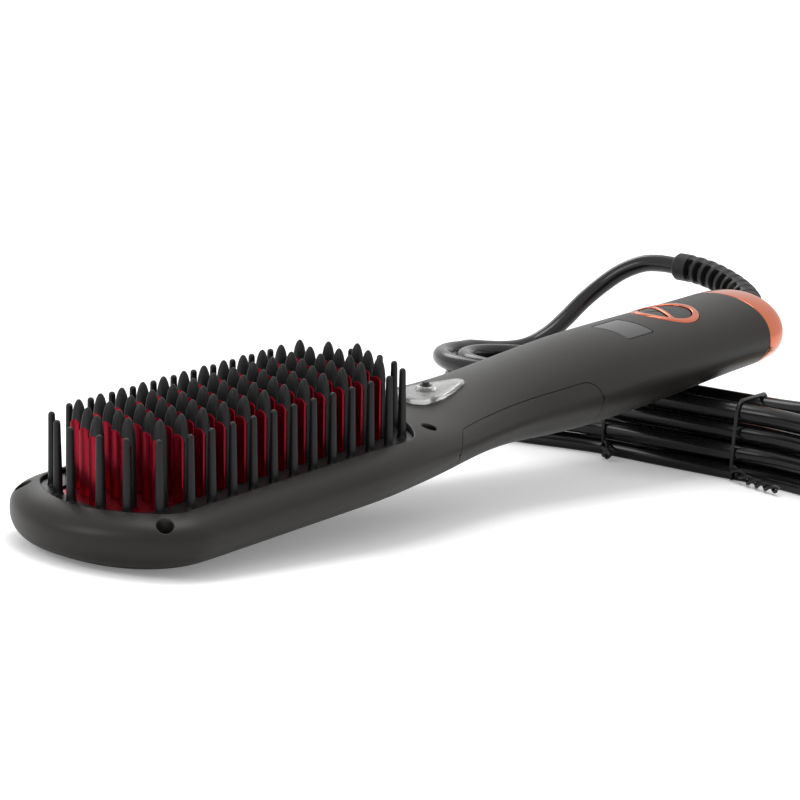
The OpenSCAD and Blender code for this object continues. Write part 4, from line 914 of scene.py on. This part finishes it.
# ----------------------------------------
# Tooth caps.  Black heat-proof nylon, moulded with a fine grain: each stands behind its
# blade with a flat front, closes over the arch of the blade and ends in a round tip.
DOME_LOW, HALF_W, DOME_HALF_W, MIDDLE = 14.2, 1.66, 1.76, 0.35
FRONT, DOME_FRONT, REAR, REAR_FOOT = -0.36, -1.16, 2.1, 2.5
uu = np.r_[np.linspace(0, 0.6, 6), 0.7, 0.78, 0.85, 0.91, 0.955, 0.985, 1.0]
shrink = np.maximum(1 - uu ** 2.0, 0) ** 0.5
shrink[-1] = 0.02
levels = np.r_[PLATE_TOP, 1.0, 7.0, DOME_LOW, DOME_LOW + (TIP_H - DOME_LOW) * uu]
half_y = np.r_[np.full(4, HALF_W), DOME_HALF_W * shrink]
front_x = MIDDLE + np.r_[np.full(4, FRONT - MIDDLE), (DOME_FRONT - MIDDLE) * shrink]
rear_x = MIDDLE + np.r_[REAR_FOOT, REAR_FOOT - 0.02, (REAR_FOOT + REAR) / 2, REAR, REAR * shrink]
rear_x -= MIDDLE * np.r_[np.ones(4), shrink]
boxy = np.r_[np.full(4, 0.45), 0.7 + 0.2 * uu]
a = ways_round(26)[None]
power = np.where(np.cos(a) < 0, boxy[:, None], 1.15)
reach = np.where(np.cos(a) < 0, (MIDDLE - front_x)[:, None], (rear_x - MIDDLE)[:, None])
cap = np.stack([MIDDLE + reach * powered(np.cos(a), power),
                half_y[:, None] * powered(np.sin(a), power),
                np.broadcast_to(levels[:, None], reach.shape)], -1)
cap_nylon = finish("tooth_cap_nylon", (0.0060, 0.0060, 0.0060), 0.45, grain_scale=3000.0, depth=0.00006,
                   strength=0.6, tone=0.3, Specular_IOR_Level=0.3)
caps = make("tooth_cap_field", *scatter(cap, tooth_places))
settle(caps, cap_nylon, sharp=38)
fit(caps, "brush", "caps", "tooth_caps")

# ----------------------------------------
# Filler stopper.  One piece of clear silicone: a cushion over the filler hole with a
# tongue to lift it by, a hollow boss, and a shank in the neck with a dark valve in it.
STOP_L, STOP_W, STOP_T, BOSS_R, SHANK_R, VALVE_D = 20.8, 11.6, 1.5, 2.7, 2.35, 3.2
STOP_Z = NECK_TOP + 0.15


def pad(outline, top, low, r, crown=0.0, fill=10):
    """A solid on an outline: straight side from low, rounded rim of radius r, top over the surface."""
    n = outline_normals(outline)
    theta = np.linspace(0, np.pi / 2, 6)[:, None]
    p = outline[None] - n[None] * (r * (1 - np.cos(theta)))[..., None]
    drop = -r * (1 - np.sin(theta)) + np.zeros(p.shape[:2])
    centre = p[-1].mean(0)
    share = np.linspace(1, 0.02, fill)[1:, None, None]
    inner = centre + (p[-1] - centre) * share
    p = np.vstack([p, inner])
    rise = np.vstack([drop, crown * (1 - share[..., 0] ** 2) + np.zeros(inner.shape[:2])])
    z = top(p[..., 0], p[..., 1]) + rise
    first = np.concatenate([outline, np.broadcast_to(np.reshape(low, (-1, 1)), (len(outline), 1))], 1)[None]
    return np.vstack([first, np.concatenate([p, z[..., None]], -1)])


def cushion_top(x, y):
    """Level top of the cushion."""
    return np.full(np.shape(x), STOP_Z + STOP_T)


TONGUE_R, BACK_X, BACK_Y, BACK_R = 2.0, -6.0, 2.8, 3.0
tongue_x = STOP_L - STOP_W / 2 - TONGUE_R
stop_outline = round_hull([(BACK_X, BACK_Y, BACK_R), (BACK_X, -BACK_Y, BACK_R),
                           (0, 0, STOP_W / 2), (tongue_x, 0, TONGUE_R)], 120)
stop_outline = stop_outline + [FILLER_X, 0]
over_casing = casing_top(stop_outline[:, 0], stop_outline[:, 1]) + 0.15
stopper = make("stopper_cushion", *skin(pad(stop_outline, cushion_top, over_casing, 0.5, 0.12)))
boss = np.array([[BOSS_R, 0.5], [BOSS_R, 2.1], [BOSS_R - 0.12, 2.4], [BOSS_R - 0.4, 2.6],
                 [0.01, 2.6]]) + [0, STOP_Z]
carve(stopper, "UNION", skin(turned(boss, 40) + [FILLER_X, 0, 0]),
      post(FILLER_X, 0, SHANK_R, STOP_Z - 5.4, STOP_Z + 0.8, 40))
carve(stopper, "DIFFERENCE", post(FILLER_X, 0, VALVE_D / 2, STOP_Z + 0.6, FAR, 40))
clear_silicone = finish("clear_silicone", (0.86, 0.86, 0.85), 0.14, grain_scale=700.0, depth=0.00002,
                        tone=0.05, spread=0.1, Transmission_Weight=0.85, IOR=1.41)
settle(stopper, clear_silicone, sharp=40)
fit(stopper, "stopper", "clear", "filler_stopper")
coat("filler_valve", finish("valve_rubber", (0.022, 0.020, 0.018), 0.5, grain_scale=2500.0))

# ----------------------------------------
# Display.  A smoked window of PMMA, flush in the casing with a thin dark gap, over the
# display module; switched off, it reads as a plain grey square.
smoked = finish("smoked_window", (0.024, 0.0235, 0.0235), 0.2, grain_scale=500.0, depth=0.00001, tone=0.1,
                spread=0.06, strength=0.1)


def pane_top(x, y):
    """Just under the casing's own surface."""
    return casing_top(x, y) - 0.05


window = make("display_glass", *skin(pad(display_outline(0.6, FIT), pane_top, 0.6, 0.18, 0.0, 14)))
settle(window, smoked, sharp=40)
fit(window, "brush", "window", "display_window")

# ----------------------------------------
# Bezel and buttons.  A rose gold plated ring with a slanting bar across it; the power
# button fills the larger side, and the up and down buttons share the other.


def at_cluster(p):
    """Bezel drawing place to brush place: turned by the bezel's own angle about its middle."""
    c, s = np.cos(BEZEL_TURN), np.sin(BEZEL_TURN)
    return np.stack([BEZEL_X + p[:, 0] * c - p[:, 1] * s, p[:, 0] * s + p[:, 1] * c], -1)


def segment(side, less, corner, split=0.0, half=0):
    """Outline of one side of the ring beside the bar, with rounded corners; half halves it."""
    r = BEZEL_R - BEZEL_BAND - less - corner
    b = np.linspace(0, 2 * np.pi, 361)
    p = np.stack([r * np.cos(b), r * np.sin(b)], -1)
    limit = BAR_OFF + side * (BAR_W / 2 + less + corner)
    y_end = np.sqrt(r * r - limit * limit)
    keep = p[side * (p[:, 0] - limit) > 0]
    keep = np.vstack([keep, [[limit, y_end], [limit, -y_end]]])
    if half:
        edge_y = half * (split / 2 + corner)
        x_end = np.sqrt(r * r - edge_y ** 2)
        keep = keep[half * (keep[:, 1] - edge_y) > 0]
        keep = np.vstack([keep, [[limit, edge_y], [x_end, edge_y]]])
    return at_cluster(round_hull(np.c_[keep, np.full(len(keep), corner)], 150))


rose_gold = finish("rose_gold_plate", (0.66, 0.185, 0.10), 0.17, grain_scale=1500.0, depth=0.00001, metal=1.0,
                   tone=0.12, spread=0.08, strength=0.15)


def proud(x, y):
    """Top of the bezel, a little over the casing."""
    return casing_top(x, y) + 0.3


def sunk(x, y):
    """Top of the buttons, a little under the casing."""
    return casing_top(x, y) - 0.1


BEZEL_GAP = 0.1
bezel_edge = bezel_circle - (bezel_circle - [BEZEL_X, 0]) * BEZEL_GAP / BEZEL_R
bezel = make("bezel_ring", *skin(pad(bezel_edge, proud, -1.0, 0.45, 0.0, 16)))
carve(bezel, "DIFFERENCE",
      *[edge_cutter(segment(side, 0.0, 0.7), 0.35, -5.0, FAR, proud) for side in (-1, 1)])
settle(bezel, rose_gold, sharp=40)
fit(bezel, "brush", "rose", "button_bezel")
button_black = finish("button_satin", (0.016, 0.0152, 0.0145), 0.4, grain_scale=2600.0, depth=0.00004,
                      strength=0.5, Specular_IOR_Level=0.3)
for name, node, body_name, outline in (
        ("power_key", "power_button", "power", segment(-1, FIT, 0.6)),
        ("up_key", "up_button", "up", segment(1, FIT, 0.6, 0.3, 1)),
        ("down_key", "down_button", "down", segment(1, FIT, 0.6, 0.3, -1))):
    key = make(name, *skin(pad(outline, sunk, -1.2, 0.35, 0.0, 12)))
    settle(key, button_black, sharp=40)
    fit(key, body_name, "buttons", node)

# ----------------------------------------
# End ring and end cap.  A rose gold plated ring closes the grip and draws in round its
# far edge; a black cap sits in it and holds the root of the cord guard.
RING_L, FAR_W, FAR_H, RING_ROUND = 10.0, 30.4, 20.4, 0.95
END_HALF_H = float(top_line(GRIP_END) - low_line(GRIP_END)) / 2


def ring_oval(u, k, inset, around=128):
    """Oval of the ring: u is its place along, k how far it has drawn in from grip to far edge."""
    u, k, inset = (np.atleast_1d(np.asarray(v, float))[:, None] for v in np.broadcast_arrays(u, k, inset))
    a = ways_round(around)[None]
    w = END_W / 2 + (FAR_W - END_W) / 2 * k - inset
    h = END_HALF_H + (FAR_H / 2 - END_HALF_H) * k - inset
    y = w * powered(np.cos(a), RING_ROUND)
    z = END_MID_Z + h * powered(np.sin(a), RING_ROUND)
    return np.stack([np.broadcast_to(GRIP_END + RING_L * u, y.shape), y, z], -1)


phi = np.linspace(0, np.pi / 2, 22)
out_u, out_k = np.sin(phi), 1 - np.cos(phi)
rings = np.vstack([ring_oval([0.0], [0.0], [0.25]), ring_oval([0.02], [0.0], [0.05]),
                   ring_oval(np.maximum(out_u, 0.04), out_k, 0.0)[1:-1],
                   ring_oval([0.995, 1.0, 1.0, 0.99], [0.94, 1.0, 1.0, 1.0], [0.0, 0.35, 1.3, 1.9]),
                   ring_oval([0.85, 0.4, 0.0], [0.5, 0.1, 0.0], WALL)])
ring_piece = make("end_ring_plated", *shell_loop(rings))
settle(ring_piece, rose_gold, sharp=50)
fit(ring_piece, "brush", "rose", "end_ring")
CAP_BORE_R = 6.55
cap_face = ring_oval([0.1, 0.42, 0.85, 0.97, 0.995], [0.05, 0.3, 0.6, 0.95, 1.0], [2.3, 2.3, 2.35, 2.4, 2.8])
rim = cap_face[-1]
hub = np.array([GRIP_END + RING_L, 0.0, END_MID_Z])
way = unit((rim - hub)[:, 1:])
hole = np.stack([np.full(len(way), hub[0]), CAP_BORE_R * way[:, 0], END_MID_Z + CAP_BORE_R * way[:, 1]], -1)
s = np.linspace(0, 1, 6)[1:-1, None, None]
cap_disc = rim[None] * (1 - s) + hole[None] * s
cap_disc[..., 0] = GRIP_END + RING_L * 0.995
inner_hole = hole[None] - np.array([0.3, 1.2, 8.0])[:, None, None] * [1, 0, 0]
cap_rings = np.vstack([cap_face, cap_disc, inner_hole])
end_cap = make("end_cap_moulding", *shell_loop(cap_rings))
end_black = finish("end_cap_black", (0.0105, 0.010, 0.0095), 0.45, grain_scale=2600.0, depth=0.00005,
                   strength=0.5, Specular_IOR_Level=0.3)
settle(end_cap, end_black, sharp=40)
fit(end_cap, "brush", "end_cap", "end_cap")

# ----------------------------------------
# Case screws.  Black steel screws with a cross slot, deep in four wells of the upper
# casing; they hold the shells of the head and neck together.
coat("case_screws", finish("screw_black_steel", (0.03, 0.03, 0.031), 0.35, grain_scale=4000.0, metal=0.8))

# ----------------------------------------
# Works inside.  Ceramic heaters and their sheets, the steam box, pump, soft tube, board,
# display module, switches and cord clamp keep the shapes of the frame.
inner_finish = {
    "heaters": finish("heater_ceramic", (0.80, 0.77, 0.70), 0.55, grain_scale=1800.0, depth=0.00006),
    "insulation": finish("mica_sheet", (0.52, 0.42, 0.24), 0.35, grain_scale=500.0, depth=0.00008,
                         patch_scale=300.0, tone=0.6),
    "heater_clamp": finish("clamp_sheet_steel", (0.50, 0.51, 0.52), 0.32, grain_scale=2500.0, metal=1.0),
    "clamp_screws": finish("zinc_screws", (0.46, 0.47, 0.48), 0.3, grain_scale=3500.0, metal=1.0),
    "thermal_fuse": finish("fuse_ceramic", (0.72, 0.66, 0.52), 0.4, grain_scale=2200.0),
    "steam_box": finish("cast_aluminium", (0.42, 0.43, 0.44), 0.45, grain_scale=1500.0, depth=0.00008,
                        metal=1.0, tone=0.3),
    "pump": finish("pump_housing", (0.66, 0.68, 0.70), 0.4, grain_scale=1500.0),
    "water_tube": finish("silicone_tube", (0.62, 0.58, 0.50), 0.35, grain_scale=900.0),
    "main_board": finish("board_green", (0.03, 0.12, 0.055), 0.3, grain_scale=600.0, patch_scale=900.0,
                         tone=0.7),
    "display_module": finish("module_grey", (0.25, 0.27, 0.28), 0.35, grain_scale=1500.0),
    "switches": finish("switch_tin", (0.55, 0.56, 0.57), 0.3, grain_scale=2500.0, metal=0.9),
    "cord_clamp": finish("clamp_nylon", (0.045, 0.045, 0.048), 0.5, grain_scale=2200.0),
}
for node, material in inner_finish.items():
    coat(node, material)
